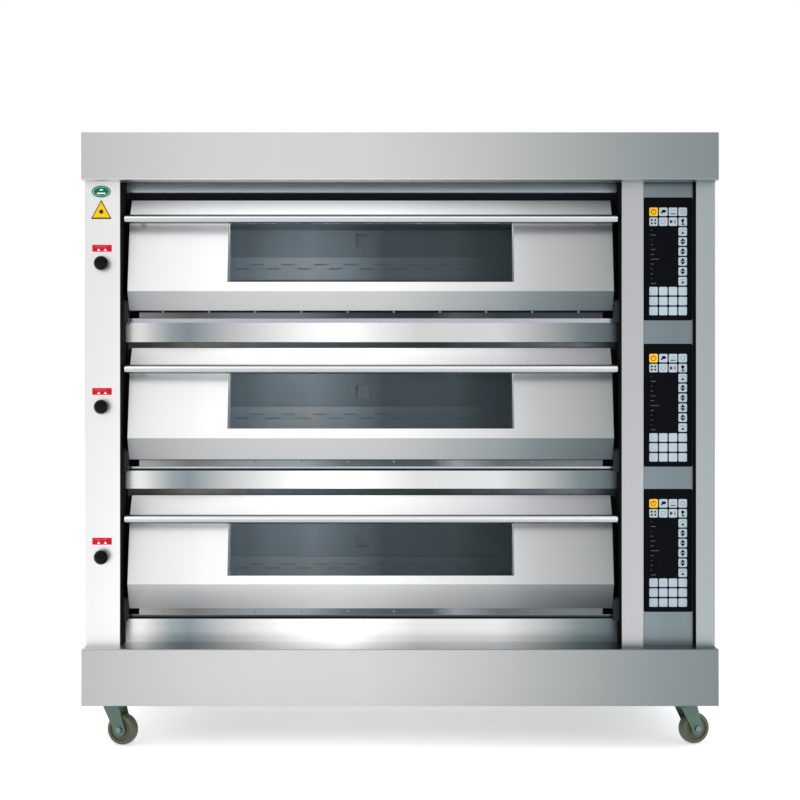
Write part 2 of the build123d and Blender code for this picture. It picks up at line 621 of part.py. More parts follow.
# ---- doors ---------------------------------------------------------------------------------
def face_point(nose, height, inward):
    """A (depth, height) point on the door's main face, moved inward at right angles to it."""
    run, rise = NOSE_DEPTH - CREASE[0], nose - CREASE[1]
    length = hypot(run, rise)
    depth = CREASE[0] + (height - CREASE[1]) * run / rise
    return (depth - inward * rise / length, height + inward * run / length)


def make_skin(name, sill, nose, window):
    """The folded front sheet with its two end caps."""
    back = LINER_BACK - THIN - SEAT
    foot = LINER_FRONT - SEAT
    path = [(back, DOOR_TOP), (MOUTH_DEPTH - DOOR_TOP_OUT, DOOR_TOP), CREASE]
    path += [(NOSE_DEPTH, nose), TOE, (foot, TOE[1])]
    skin = side_prism(folded(above(sill, path), SHEET), (DOOR_LEFT, DOOR_RIGHT))
    cap = above(sill, path + [(back, END_CAP_FOOT)])
    for end in ((DOOR_LEFT, DOOR_LEFT + SHEET), (DOOR_RIGHT - SHEET, DOOR_RIGHT)):
        skin += side_prism(cap, end)
    skin -= bar_x(HINGE_PIN, (DOOR_LEFT - OVERCUT, DOOR_RIGHT + OVERCUT), HINGE[0], sill + HINGE[1])
    skin -= block(WINDOW, (0.0, LINER_FRONT), (sill + window, sill + WINDOW_TOP))
    save(f"door_{name}_skin", skin)


def make_liner(name, sill, nose, window):
    """The inner pan, and the frame that lines the sight window between the two panes."""
    x = (DOOR_LEFT + LINER_INSET, DOOR_RIGHT - LINER_INSET)
    top = DOOR_TOP - SHEET - SEAT
    inward, step_low, step_high = LINER_STEP
    path = [(LINER_FRONT, TOE[1] + LINER_TOE_RISE), (LINER_FRONT, LINER_BOTTOM)]
    path += [(LINER_FRONT + LINER_CHANNEL, LINER_BOTTOM), (LINER_BACK - inward, step_low)]
    path += [(LINER_BACK, step_high), (LINER_BACK, top), (MOUTH_DEPTH - DOOR_TOP_OUT + 2 * SHEET, top)]
    pan = side_prism(folded(above(sill, path), THIN), x)
    low, high = window - SIGHT_MARGIN, WINDOW_TOP + SIGHT_MARGIN
    pan -= block(WINDOW, (LINER_BACK - OVERCUT, LINER_BACK + OVERCUT), (sill + low, sill + high))
    gap = SHEET + SEAT + GLASS + SEAT
    pane_front = LINER_BACK - THIN - GLASS - 2 * SEAT
    outline = [face_point(nose, low, gap), (pane_front, low), (pane_front, high), face_point(nose, high, gap)]
    reveal = side_prism(above(sill, outline), (WINDOW[0] - THIN, WINDOW[1] + THIN))
    reveal -= block(WINDOW, (0.0, DEPTH), (sill + low + THIN, sill + high - THIN))
    save(f"door_{name}_liner", pan, reveal)


def make_glass(name, sill, nose, window):
    """The sloping outer pane and the upright inner pane."""
    x = (WINDOW[0] - WINDOW_LAP, WINDOW[1] + WINDOW_LAP)
    low, high = window - WINDOW_LAP, WINDOW_TOP + 0.6 * WINDOW_LAP
    near, far = SHEET + SEAT, SHEET + SEAT + GLASS
    corners = ((low, near), (low, far), (high, far), (high, near))
    outline = [face_point(nose, *corner) for corner in corners]
    outer = side_prism(above(sill, outline), x)
    back = LINER_BACK - THIN - SEAT
    inner = block(x, (back - GLASS, back), (sill + low - SIGHT_MARGIN, sill + high + SIGHT_MARGIN))
    save(f"door_{name}_glass", outer, inner)


def make_handle(name, sill, nose):
    """A tube closed by domed plugs, on two standoffs."""
    foot = face_point(nose, HANDLE_HEIGHT, 0)[0]
    depth = foot - HANDLE_STANDOFF
    z = sill + HANDLE_HEIGHT
    x = (OPEN_LEFT + HANDLE_GAP, OPEN_RIGHT - HANDLE_GAP)
    tube = bar_x(HANDLE_RADIUS, (x[0] + HANDLE_DOME, x[1] - HANDLE_DOME), depth, z)
    pieces = [tube - bar_x(HANDLE_RADIUS - HANDLE_WALL, x, depth, z)]
    for end, way in ((x[0], 1), (x[1], -1)):
        span = sorted((end, end + way * HANDLE_DOME))
        plug = bar_x(HANDLE_RADIUS, span, depth, z)
        rim = plug.edges().filter_by(GeomType.CIRCLE).sort_by(Axis.X)[0 if way > 0 else -1]
        pieces.append(fillet(rim, 0.9 * HANDLE_DOME))
    top = face_point(nose, DOOR_TOP, 0.0)
    face = [top, (NOSE_DEPTH, nose), (MOUTH_DEPTH, nose), (MOUTH_DEPTH, DOOR_TOP)]
    behind = side_prism(above(sill, face), x)
    for post_x in (DOOR_LEFT + POST_IN, DOOR_RIGHT - POST_IN):
        post = bar_y(POST_RADIUS, post_x, (depth, foot + POST_RADIUS), z)
        post -= bar_x(HANDLE_RADIUS + BEARING_PLAY, x, depth, z)
        pieces.append(post - behind)
    save(f"door_{name}_handle", *pieces)


def make_hinges():
    """Pins fixed in the door's ends, and the bracket that each turns in on the column's side."""
    depth, height = HINGE
    collar_radius, collar_length = HINGE_COLLAR
    pin_radius = HINGE_PIN - PRESS_FIT
    brackets = []
    for name, sill in zip(DECKS, SILLS):
        z = sill + height
        pins = []
        ends = ((OPEN_LEFT, DOOR_LEFT, 1), (OPEN_RIGHT, DOOR_RIGHT, -1))
        for column_x, door_x, way in ends:
            inside = door_x + way * (SHEET + SEAT / 3)
            tip = column_x + way * SHEET
            pin = bar_x(pin_radius, sorted((tip, inside + way * 2 * collar_length)), depth, z)
            collar = bar_x(collar_radius, sorted((inside, inside + way * collar_length)), depth, z)
            pins.append(pin + collar)
            x = sorted((column_x, door_x - way * SHEET))
            ear = bar_x(HINGE_EAR, x, depth, z)
            leg = block(x, (depth - HINGE_EAR, depth + HINGE_EAR), (sill - THIN - SEAT, z))
            hole = bar_x(pin_radius + BEARING_PLAY, (x[0] - OVERCUT, x[1] + OVERCUT), depth, z)
            brackets.append(ear + leg - hole)
        save(f"door_{name}_hinge_pins", *pins)
    save("hinge_brackets", *brackets)


def make_seals():
    """Rope seals on the chamber flanges, at the sides and over the mouth."""
    strips = []
    depth = (LINER_BACK + SEAT, MOUTH_DEPTH)
    for sill in SILLS:
        top = sill + CHAMBER_CEILING + SEAL_MARGIN
        left, right = CHAMBER_LEFT - SEAL_MARGIN, CHAMBER_RIGHT + SEAL_MARGIN
        z = (sill + END_CAP_FOOT, top)
        strips.append(block((left - SEAL, left), depth, z))
        strips.append(block((right, right + SEAL), depth, z))
        strips.append(block((left - SEAL, right + SEAL), depth, (top, top + SEAL)))
    save("door_seals", *strips)


# ---- casters -------------------------------------------------------------------------------
def make_caster_plates():
    """Top plates with their bolts, each with the fixed raceway and the kingpin."""
    length, width, thickness = CASTER_PLATE
    bolt, bolt_head, corner = 7.5, 3.0, 8.0
    under = CASTER_HEIGHT - thickness
    pieces = []
    for x, depth in CASTERS.values():
        here = Pos(x, FRONT + depth, 0)
        plate = Pos(0, 0, CASTER_HEIGHT - thickness / 2) * Box(*CASTER_PLATE)
        plate = fillet(plate.edges().filter_by(Axis.Z), corner)
        race = Pos(0, 0, (under + RACE_BOTTOM) / 2) * Cylinder(RACE_RADIUS, under - RACE_BOTTOM)
        stem_length = 2 * SEAT + CROWN
        stem_bottom = RACE_BOTTOM - stem_length
        stem = Pos(0, 0, stem_bottom + stem_length / 2) * Cylinder(KINGPIN_RADIUS, stem_length)
        head = Pos(0, 0, stem_bottom - KINGPIN_HEAD[1] / 2) * Cylinder(*KINGPIN_HEAD)
        bolts = []
        for bx in (-1, 1):
            for by in (-1, 1):
                place = Pos(bx * (length / 2 - 12.0), by * (width / 2 - 12.0), under - bolt_head)
                bolts.append(place * extrude(RegularPolygon(bolt, 6), bolt_head))
        pieces.append(here * (plate + race + stem + head + bolts))
    save("caster_plates", *pieces)


def make_fork():
    """A crown with two flat legs that end in round bosses on the axle."""
    top = RACE_BOTTOM - SEAT
    fork = Pos(0, 0, top - CROWN / 2) * Cylinder(RACE_RADIUS, CROWN)
    fork -= Pos(0, 0, top) * Cylinder(KINGPIN_RADIUS + BEARING_PLAY, 4 * CROWN)
    inner = WHEEL_WIDTH / 2 + LEG_PLAY
    outline = [(-LEG_TOP, top), (LEG_TOP, top)]
    outline += [(TRAIL + LEG_BOSS, WHEEL_RADIUS), (TRAIL - LEG_BOSS, WHEEL_RADIUS)]
    for start in (inner, -inner - LEG):
        plane = Plane(origin=(0, start + LEG, 0), x_dir=(1, 0, 0), z_dir=(0, -1, 0))
        fork += extrude(plane * make_face(Polyline(*outline, close=True)), LEG)
        boss = plane.offset(LEG / 2) * Pos(TRAIL, WHEEL_RADIUS) * Cylinder(LEG_BOSS, LEG)
        fork += boss
    return fork - axle_line() * Cylinder(AXLE_RADIUS + PRESS_FIT, 2 * RACE_RADIUS + 2 * WHEEL_WIDTH)


def axle_line():
    return Pos(TRAIL, 0, WHEEL_RADIUS) * Rot(90, 0, 0)


def make_axle():
    """The axle bolt with its head and its nut."""
    head, head_length = 8.5, 5.0
    outer = WHEEL_WIDTH / 2 + LEG_PLAY + LEG
    axle = axle_line() * Cylinder(AXLE_RADIUS, 2 * outer + head_length)
    for side in (-1, 1):
        middle = side * (outer + SEAT / 3 + head_length / 2)
        place = Pos(TRAIL, middle, WHEEL_RADIUS) * Rot(90, 0, 0)
        axle += place * extrude(RegularPolygon(head, 6), head_length / 2, both=True)
    return axle


def make_wheel():
    """A moulded wheel with a hub, a dished web and a rounded tread."""
    w, r = WHEEL_WIDTH / 2, WHEEL_RADIUS
    hub, dish, rim = 13.0, 5.0, 11.0
    half = [(AXLE_RADIUS + BEARING_PLAY, 0), (AXLE_RADIUS + BEARING_PLAY, w), (hub, w), (hub + 2.0, w - dish)]
    half += [(r - rim - 2.0, w - dish), (r - rim, w - 1.0), (r - 5.0, w - 1.0)]
    half += [(r - 1.5, w - 4.5), (r, w - 10.0), (r, 0)]
    solid = revolve(Plane.XZ * make_face(Polyline(*half, close=True)), Axis.Z)
    return axle_line() * (solid + mirror(solid, Plane.XY))


def make_casters():
    for name, (x, depth) in CASTERS.items():
        here = Pos(x, FRONT + depth, 0) * Rot(0, 0, CASTER_YAWS[name])
        save(f"caster_{name}_fork", here * make_fork())
        save(f"caster_{name}_axle", here * make_axle())
        save(f"caster_{name}_wheel", here * make_wheel())


def main():
    os.makedirs("parts", exist_ok=True)
    save("hood", make_hood())
    save("base_box", make_base())
    make_columns()
    make_panels()
    make_gland()
    make_rails()
    for i, name in enumerate(DECKS):
        last = i == len(DECKS) - 1
        next_rail = HOOD_BOTTOM + LINTEL[0] if last else SILLS[i + 1] - PLINTH_HEIGHTS[i + 1]
        make_chamber(name, SILLS[i], PORT_HEIGHTS[i], next_rail - SEAT)
        make_skin(name, SILLS[i], NOSE_HEIGHTS[i], WINDOW_BOTTOMS[i])
        make_liner(name, SILLS[i], NOSE_HEIGHTS[i], WINDOW_BOTTOMS[i])
        make_glass(name, SILLS[i], NOSE_HEIGHTS[i], WINDOW_BOTTOMS[i])
        make_handle(name, SILLS[i], NOSE_HEIGHTS[i])
        make_damper(name, PORT_HEIGHTS[i], KNOB_HEIGHTS[i])
    make_hearths_and_guards()
    make_elements_and_insulation()
    make_flue()
    make_electrics()
    make_controls()
    make_hinges()
    make_seals()
    make_caster_plates()
    make_casters()


main()
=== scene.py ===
"""Deck oven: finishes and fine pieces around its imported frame, laid out as an add-on."""
import math

import bpy
from bpy.props import FloatProperty, FloatVectorProperty, PointerProperty
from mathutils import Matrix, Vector


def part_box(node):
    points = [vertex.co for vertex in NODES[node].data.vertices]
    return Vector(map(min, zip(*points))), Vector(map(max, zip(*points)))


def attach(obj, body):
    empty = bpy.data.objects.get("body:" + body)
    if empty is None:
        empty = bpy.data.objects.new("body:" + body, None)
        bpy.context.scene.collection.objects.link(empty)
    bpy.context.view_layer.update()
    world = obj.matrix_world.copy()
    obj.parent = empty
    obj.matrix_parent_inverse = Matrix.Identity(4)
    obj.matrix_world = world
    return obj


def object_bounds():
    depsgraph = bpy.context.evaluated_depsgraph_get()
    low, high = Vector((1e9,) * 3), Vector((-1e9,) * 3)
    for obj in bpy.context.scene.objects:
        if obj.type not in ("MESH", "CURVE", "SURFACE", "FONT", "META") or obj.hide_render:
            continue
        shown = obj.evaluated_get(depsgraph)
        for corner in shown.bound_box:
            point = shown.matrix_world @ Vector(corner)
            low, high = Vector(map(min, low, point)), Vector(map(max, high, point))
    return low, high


bl_info = {
    "name": "Deck Oven Finishes",
    "version": (1, 0, 0),
    "blender": (4, 5, 0),
    "location": "View3D > Sidebar > Deck Oven",
    "description": "Finishes, labels, key glyphs, screws and a stage for a three-deck bakery oven",
    "category": "Object",
}

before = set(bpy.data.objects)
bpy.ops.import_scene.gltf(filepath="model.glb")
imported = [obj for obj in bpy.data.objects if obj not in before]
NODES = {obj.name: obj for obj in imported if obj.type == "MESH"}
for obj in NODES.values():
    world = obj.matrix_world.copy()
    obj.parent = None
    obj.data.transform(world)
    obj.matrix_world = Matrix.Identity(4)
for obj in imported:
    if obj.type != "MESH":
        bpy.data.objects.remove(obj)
CAD_BOX = [list(corner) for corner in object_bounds()]
MM = 0.001

DECKS = ("bottom", "middle", "top")
CORNERS = ("front_left", "front_right", "rear_left", "rear_right")
BODY = "oven_body"

LOW, HIGH = (Vector(corner) for corner in CAD_BOX)
SPAN = HIGH - LOW
FILM_LOW, FILM_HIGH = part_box("control_membranes")
DOOR_TOPS = [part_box(f"door_{deck}_skin")[1].z for deck in DECKS]
CREASE_DROP = 53 * MM  # from a door's top to the fold over its face
CHAMBER_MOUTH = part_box("chamber_bottom")[0]
GUARD_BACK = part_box("rear_guards")[1].y
GUARD_RISES = (41 * MM, 100 * MM, 158 * MM)  # bottoms of the rear guards over the sills
GUARD_HEIGHT = 68 * MM
HOOD_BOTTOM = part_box("hood")[0].z
BASE_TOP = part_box("base_box")[1].z
SKIN_BOTTOMS = [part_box(f"door_{deck}_skin")[0].z for deck in DECKS]
TOE_HEIGHT = 31 * MM  # from a sill to the bottom of its door
SILLS = [bottom - TOE_HEIGHT for bottom in SKIN_BOTTOMS]
LINER_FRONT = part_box("door_bottom_liner")[0].y

BLACK = (0.0, 0.0, 0.0)
SQUARE_ON = 0.9  # a normal this far along an axis faces that way
NOISE_OUT = "Fac"

CORNER_ABOVE_KEY = (-26.1 * MM, 37.8 * MM)  # a panel's upper left corner, from its power key
KEY_PITCH = (25.6 * MM, 26.1 * MM)
DISPLAY = (57 * MM, 161 * MM, 38 * MM, 116 * MM)  # middle right of and below the corner, width, height
ROW_START = (19 * MM, 86 * MM)  # first grey line, right of and below the corner
ROW_PITCH = 12.75 * MM
ROW_LENGTHS = tuple(length * MM for length in (3, 13, 3, 6, 12, 8, 22, 8, 4, 5, 3, 14))
PRINT = 0.25 * MM  # thickness of printed marks
PLATE = 0.9 * MM  # thickness of the damper plates and of the triangle
OVAL = 0.6 * MM  # thickness of the oval badge

WIDE_KEY_ROWS = (2, 7)  # right-hand keys with one arrow
ARROW_KEY_ROWS = (3, 4, 5, 6)  # right-hand keys with an arrow each way
LAMP_SIZE = (0.9, 0.12)
LAMP_POWER = 5.0
SENSOR = 36.0  # millimetres
FIRST = DECKS[0]


# ---- node maths ----------------------------------------------------------------------------
class Value:
    """A number from a node; sums and products on it add Math nodes."""

    def __init__(self, finish, socket):
        self.finish = finish
        self.socket = socket

    def math(self, operation, *values, clamp=False):
        settings = {"operation": operation, "use_clamp": clamp}
        return self.finish.add("ShaderNodeMath", settings, dict(enumerate(values)))["Value"]

    def __add__(self, other):
        return self.math("ADD", self, other)

    def __sub__(self, other):
        return self.math("SUBTRACT", self, other)

    def __rsub__(self, other):
        return self.math("SUBTRACT", other, self)

    def __mul__(self, other):
        return self.math("MULTIPLY", self, other)

    def __truediv__(self, other):
        return self.math("DIVIDE", self, other)

    def __gt__(self, other):
        return self.math("GREATER_THAN", self, other)

    def __lt__(self, other):
        return self.math("LESS_THAN", self, other)

    def __abs__(self):
        return self.math("ABSOLUTE", self)

    __radd__ = __add__
    __rmul__ = __mul__

    def clamped(self):
        return self.math("ADD", self, 0.0, clamp=True)


class Finish:
    """One procedural material and its Principled shader."""

    def __init__(self, name, **constants):
        self.material = bpy.data.materials.new(name)
        self.material.use_nodes = True
        self.tree = self.material.node_tree
        self.shader = next(n for n in self.tree.nodes if n.type == "BSDF_PRINCIPLED")
        self.surface = self.shader.outputs["BSDF"]
        for socket, value in constants.items():
            self.shader.inputs[socket.replace("_", " ")].default_value = value
        place = self.add("ShaderNodeTexCoord")
        self.place = place["Object"]
        self.facing = place["Normal"]

    def add(self, kind, settings=None, inputs=None):
        """Adds a node: its settings first, then the values or links of its sockets."""
        node = self.tree.nodes.new(kind)
        for key, value in (settings or {}).items():
            if key == "stops":
                self._stops(node.color_ramp, value)
            else:
                setattr(node, key, value)
        for key, value in (inputs or {}).items():
            if isinstance(value, Value):
                self.tree.links.new(value.socket, node.inputs[key])
            else:
                node.inputs[key].default_value = value
        return {out.name: Value(self, out) for out in reversed(node.outputs) if out.enabled}

    @staticmethod
    def _stops(ramp, stops):
        while len(ramp.elements) < len(stops):
            ramp.elements.new(0.5)
        for element, (position, colour) in zip(ramp.elements, stops):
            element.position = position
            element.color = (*colour, 1.0)

    def feed(self, socket, value):
        """Links a value to one of the shader's own sockets."""
        self.tree.links.new(value.socket, self.shader.inputs[socket])
        return self

    def axis(self, which, vector=None):
        """One coordinate of the piece, in metres."""
        parts = self.add("ShaderNodeSeparateXYZ", inputs={0: vector or self.place})
        return parts["XYZ"[which]]

    def noise(self, scale, detail=2.0, roughness=0.5, stretch=(1.0, 1.0, 1.0)):
        """Noise from 0 to 1 over the piece, stretched along its axes."""
        moved = self.add("ShaderNodeMapping", inputs={"Vector": self.place, "Scale": stretch})
        inputs = {"Vector": moved["Vector"], "Scale": scale, "Detail": detail, "Roughness": roughness}
        return self.add("ShaderNodeTexNoise", {}, inputs)[NOISE_OUT]

    def ramp(self, value, stops):
        """A colour from a number, by (position, colour) stops."""
        return self.add("ShaderNodeValToRGB", {"stops": stops}, {"Fac": value})["Color"]

    def mix(self, factor, a, b):
        """A colour between two colours."""
        first, second = (c if isinstance(c, Value) else (*c, 1.0) for c in (a, b))
        inputs = {0: factor, 6: first, 7: second}  # the colour sockets of a Mix node
        return self.add("ShaderNodeMix", {"data_type": "RGBA"}, inputs)["Result"]

    def shade(self, factor, colour, roughness=0.9):
        """Covers part of the surface with painted shade, dull and dark, so that it stays dark however it is
        seen.
        """
        colour = colour if isinstance(colour, Value) else (*colour, 1.0)
        inputs = {"Base Color": colour, "Roughness": roughness, "Specular IOR Level": 0.1}
        painted_shade = self.add("ShaderNodeBsdfPrincipled", {}, inputs)["BSDF"]
        over = self.add("ShaderNodeMixShader", {}, {0: factor})["Shader"].socket.node
        self.tree.links.new(self.surface, over.inputs[1])
        self.tree.links.new(painted_shade.socket, over.inputs[2])
        self.surface = over.outputs["Shader"]
        self.tree.links.new(self.surface, self.tree.nodes["Material Output"].inputs["Surface"])

    def bump(self, height, strength, distance):
        """Feeds a height through a Bump node to the shader's Normal."""
        inputs = {"Height": height, "Strength": strength, "Distance": distance}
        return self.feed("Normal", self.add("ShaderNodeBump", {}, inputs)["Normal"])


def tone(*levels):
    """A display colour, 0 to 255, as the linear colour that a shader takes."""
    levels = levels * 3 if len(levels) == 1 else levels
    return tuple(((v / 255 + 0.055) / 1.055) ** 2.4 if v > 10 else v / 255 / 12.92 for v in levels)


# ---- finishes ------------------------------------------------------------------------------
# Tone ramps from the oven's left side, 0, to its right side, 1: each surface's colour with the painted
# reflection and painted shade that change across it.
CASING = [(0.0, tone(193)), (0.08, tone(202)), (0.17, tone(211)), (0.3, tone(215, 217, 216)),
          (0.45, tone(214, 216, 215)), (0.55, tone(205, 206, 208)), (0.64, tone(195, 196, 198)),
          (0.74, tone(177, 181, 182)), (0.83, tone(160, 166, 166)), (0.91, tone(145, 153, 156)),
          (1.0, tone(134, 143, 146))]
FACE = [(0.07, tone(221)), (0.11, tone(229)), (0.16, tone(238)), (0.19, tone(245)), (0.27, tone(252)),
        (0.38, tone(255)), (0.47, tone(251)), (0.53, tone(242)), (0.59, tone(228)),
        (0.66, tone(212, 213, 214)),
        (0.72, tone(188, 189, 191)), (0.79, tone(169, 170, 172)), (0.83, tone(155, 161, 161))]
BEVEL = [(0.07, tone(163, 167, 169)), (0.15, tone(183, 184, 186)), (0.19, tone(192, 193, 195)),
         (0.27, tone(200, 201, 203)), (0.36, tone(204, 205, 207)), (0.47, tone(199, 200, 202)),
         (0.53, tone(187, 190, 191)), (0.59, tone(171, 174, 176)), (0.66, tone(149, 158, 161)),
         (0.72, tone(123, 134, 138)), (0.79, tone(102, 112, 114)), (0.84, tone(90, 101, 106))]
PLINTH = [(0.06, tone(222, 224, 224)), (0.085, tone(208, 210, 209)), (0.106, tone(176, 178, 179)),
          (0.13, tone(140, 150, 151)), (0.158, tone(124, 134, 141)), (0.187, tone(149, 158, 159)),
          (0.22, tone(178, 179, 181)), (0.275, tone(206, 208, 207)), (0.34, tone(236, 237, 237)),
          (0.41, tone(255)), (0.468, tone(226)), (0.53, tone(203)), (0.66, tone(203, 205, 206)),
          (0.725, tone(169, 171, 172)), (0.79, tone(113, 125, 125)), (0.84, tone(88, 98, 104))]
COLUMNS = [(0.0, tone(217)), (0.03, tone(220)), (0.06, tone(224)), (0.84, tone(184, 187, 190)),
           (0.855, tone(174, 176, 178)), (0.9, tone(174, 176, 178)), (0.955, tone(154, 162, 162)),
           (0.975, tone(157, 161, 165)), (1.0, tone(151, 162, 161))]
RECESS = [(0.876, tone(123, 132, 137)), (0.9, tone(119, 132, 138)), (0.925, tone(114, 128, 133)),
          (0.945, tone(111, 125, 128)), (0.955, tone(116, 126, 131))]
INSIDE = [(0.22, tone(190, 200, 210)), (0.26, tone(210, 222, 232)), (0.34, tone(226, 238, 248)),
          (0.4, tone(184, 196, 206)), (0.47, tone(116, 128, 134)), (0.54, tone(110, 122, 128)),
          (0.6, tone(108, 118, 122)), (0.65, tone(66, 74, 78)), (0.7, tone(32, 38, 42))]
CHANNEL = [(0.08, tone(176, 180, 176)), (0.16, tone(124, 126, 122)), (0.26, tone(154, 162, 168)),
           (0.34, tone(160, 170, 176)), (0.41, tone(108, 116, 120)), (0.48, tone(86, 96, 100)),
           (0.55, tone(84, 94, 98)), (0.59, tone(160, 166, 170)), (0.66, tone(108, 116, 118)),
           (0.78, tone(124, 132, 138)), (0.84, tone(114, 120, 126))]
FLANGE = [(0.09, tone(80, 84, 84)), (0.16, tone(142, 140, 130)), (0.27, tone(104, 116, 124)),
          (0.41, tone(78, 88, 92)), (0.55, tone(62, 72, 76)), (0.66, tone(92, 100, 108)),
          (0.79, tone(150, 158, 170)), (0.85, tone(50, 56, 60))]
LINTEL = [(0.06, tone(226, 236, 242)), (0.2, tone(214, 228, 234)), (0.45, tone(210, 222, 228)),
          (0.85, tone(206, 222, 230))]
# CHROME runs from faces turned down, 0, to faces turned up, 1: painted reflection, dark at the handle's top
# and bottom, with a painted highlight line above its middle.
CHROME = [(0.02, tone(70, 76, 80)), (0.13, tone(124, 130, 133)), (0.25, tone(176, 181, 184)),
          (0.37, tone(164, 168, 172)), (0.48, tone(182, 187, 190)), (0.6, tone(250, 252, 253)),
          (0.7, tone(230, 233, 235)), (0.81, tone(196, 199, 202)), (0.92, tone(160, 162, 165))]
CHANNEL_LINES = (1 * MM, 3 * MM, 5 * MM)  # painted shadow along the upper edge of the channel, under the door's bevel, bottom to top door
LIP_HEIGHT = 12 * MM
LIP_RISE = 11.5 * MM  # top of the lip over the sill
LIPS = [
    [(0.0, tone(150, 154, 158)), (0.12, tone(100, 104, 106)), (0.3, tone(56, 58, 62)),
     (0.55, tone(40, 42, 46)), (0.7, tone(8, 8, 12)), (0.86, tone(10, 10, 14)), (1.0, tone(120))],
    [(0.0, tone(150, 156, 162)), (0.25, tone(186, 192, 198)), (0.42, tone(140, 146, 152)),
     (0.6, tone(14, 20, 26)), (0.8, tone(18, 22, 26)), (1.0, tone(110))],
    [(0.0, tone(186, 188, 200)), (0.25, tone(176, 178, 190)), (1.0, tone(172, 174, 186))],
]  # painted light and shade bands under each folded lip, from the sill down, bottom to top plinth
# glow of each upper slope at its crease and at its top edge, bottom to top door
SLOPE_GLOW = ((0.1, 0.28), (0.16, 0.36), (0.86, 0.08))
BEVEL_DIP = 0.22  # painted shade: how much darker the slope under each nose is
HOOD_DIM, BASE_DIM = 0.1, 0.17  # painted shade: how much darker the casing is, and how much more the base
PLINTH_FOOT = 45 * MM  # lower part of the bottom plinth, which glows with the ledge under it


def across(finish):
    """Where a point is from the oven's left side, 0, to its right side, 1."""
    return (finish.axis(0) - LOW.x) / SPAN.x


def between(value, low, high):
    """1 where a value is between two numbers, and 0 elsewhere."""
    return (value > low) * (value < high)


def steel(name, stops, grain, roughness=0.3, streak=0.04, metallic=1.0):
    """Sheet steel whose tone changes from side to side with painted reflection and shade, under fine brush
    lines along its grain.
    """
    finish = Finish(name, Metallic=metallic)
    lines = finish.noise(3.0, 5.0, 0.75, grain)
    broad = finish.noise(1.1, 2.0, 0.5, tuple(max(g / 40, 0.5) for g in grain))
    colour = finish.ramp(across(finish), stops)
    finish.colour = finish.mix(lines * streak, colour, BLACK)
    finish.feed("Roughness", roughness + (lines - 0.5) * 0.12 + (broad - 0.5) * 0.08)
    finish.bump(lines, 0.05, 0.0002)
    return finish


def plain(name, colour, roughness=0.5, metallic=0.0, mottle=0.08, scale=60.0, bump=0.0, **constants):
    """A moulded, painted or plated surface with slight variation."""
    finish = Finish(name, Metallic=metallic, **constants)
    cloud = finish.noise(scale, 4.0, 0.6)
    dark = tuple(c * (1 - mottle) for c in colour)
    light = tuple(min(c * (1 + mottle), 1.0) for c in colour)
    finish.feed("Base Color", finish.mix(cloud, dark, light))
    finish.feed("Roughness", roughness + (cloud - 0.5) * 0.15)
    if bump:
        finish.bump(cloud, bump, 0.0003)
    return finish


def make_casing():
    """The hood, the base and the side panels, brushed from side to side, with painted shade that dims them,
    the base more, and a painted reflection tone on the base's top ledge.
    """
    finish = steel("brushed_casing", CASING, ALONG, 0.32)
    plinth = finish.ramp(across(finish), PLINTH)
    # painted reflection: the base's top ledge takes the plinth's tone, tinted blue-grey
    ledge = finish.axis(2, finish.facing) > SQUARE_ON
    ledge = ledge * between(finish.axis(2), BASE_TOP - 4 * MM, BASE_TOP + 1 * MM)
    ledge_reflection = finish.mix(0.12, plinth, tone(60, 74, 84))
    # painted shade: the casing is dimmed, and the base below its top more
    dim = HOOD_DIM + (finish.axis(2) < BASE_TOP) * BASE_DIM
    sheet = finish.mix(dim, finish.colour, BLACK)
    finish.feed("Base Color", finish.mix(ledge, sheet, ledge_reflection))
    return finish


def make_column():
    """The columns, brushed upwards, with painted reflection from side to side; their returns beside the
    doors carry painted deep shade.
    """
    finish = steel("brushed_columns", COLUMNS, UPRIGHT, 0.34, 0.03)
    finish.feed("Base Color", finish.colour)
    x = finish.axis(0)
    side = abs(finish.axis(0, finish.facing)) > SQUARE_ON
    finish.shade(side * between(x, LOW.x + 20 * MM, HIGH.x - 20 * MM), tone(9, 10, 13))
    return finish


def make_recess():
    """The plate behind the panels, with painted reflection from side to side and painted shade in the gap
    beside the outer column.
    """
    finish = steel("recess_plate", RECESS, UPRIGHT, 0.3)
    finish.feed("Base Color", finish.colour)
    finish.shade(finish.axis(0) > FILM_HIGH.x + 0.6 * MM, tone(6, 10, 13))
    return finish


def make_skin():
    """The door skins, with painted reflection bright at the left and greyer at the right, painted shade
    under the nose, a painted glow on the upper slopes and painted shade on the end caps.
    """
    finish = steel("polished_door", FACE, ALONG, 0.3, 0.02)
    up, z = finish.axis(2, finish.facing), finish.axis(2)
    under, slope = up < -0.2, up > 0.4
    lower = finish.ramp(across(finish), BEVEL)
    colour = finish.mix(under, finish.colour, finish.mix(BEVEL_DIP, lower, BLACK))
    # painted light: the slope under the bottom door's nose is a little paler
    paler = finish.ramp(across(finish), FACE)
    finish.feed("Base Color", finish.mix(under * (z < DOOR_TOPS[0]) * 0.3, colour, paler))
    finish.feed("Metallic", 0.8 - slope * 0.5 - under * 0.3)
    glow = 0.0
    for top, (foot, head) in zip(DOOR_TOPS, SLOPE_GLOW):
        rise = ((z - (top - CREASE_DROP)) / CREASE_DROP).clamped()
        glow = between(z, top - 100 * MM, top + 10 * MM) * (foot + rise * (head - foot)) + glow
    finish.feed("Emission Color", finish.mix(slope * glow, BLACK, finish.colour))
    finish.shader.inputs["Emission Strength"].default_value = 1.0
    # painted shade on the door's end caps
    finish.shade(abs(finish.axis(0, finish.facing)) > SQUARE_ON, tone(26, 28, 36))
    return finish


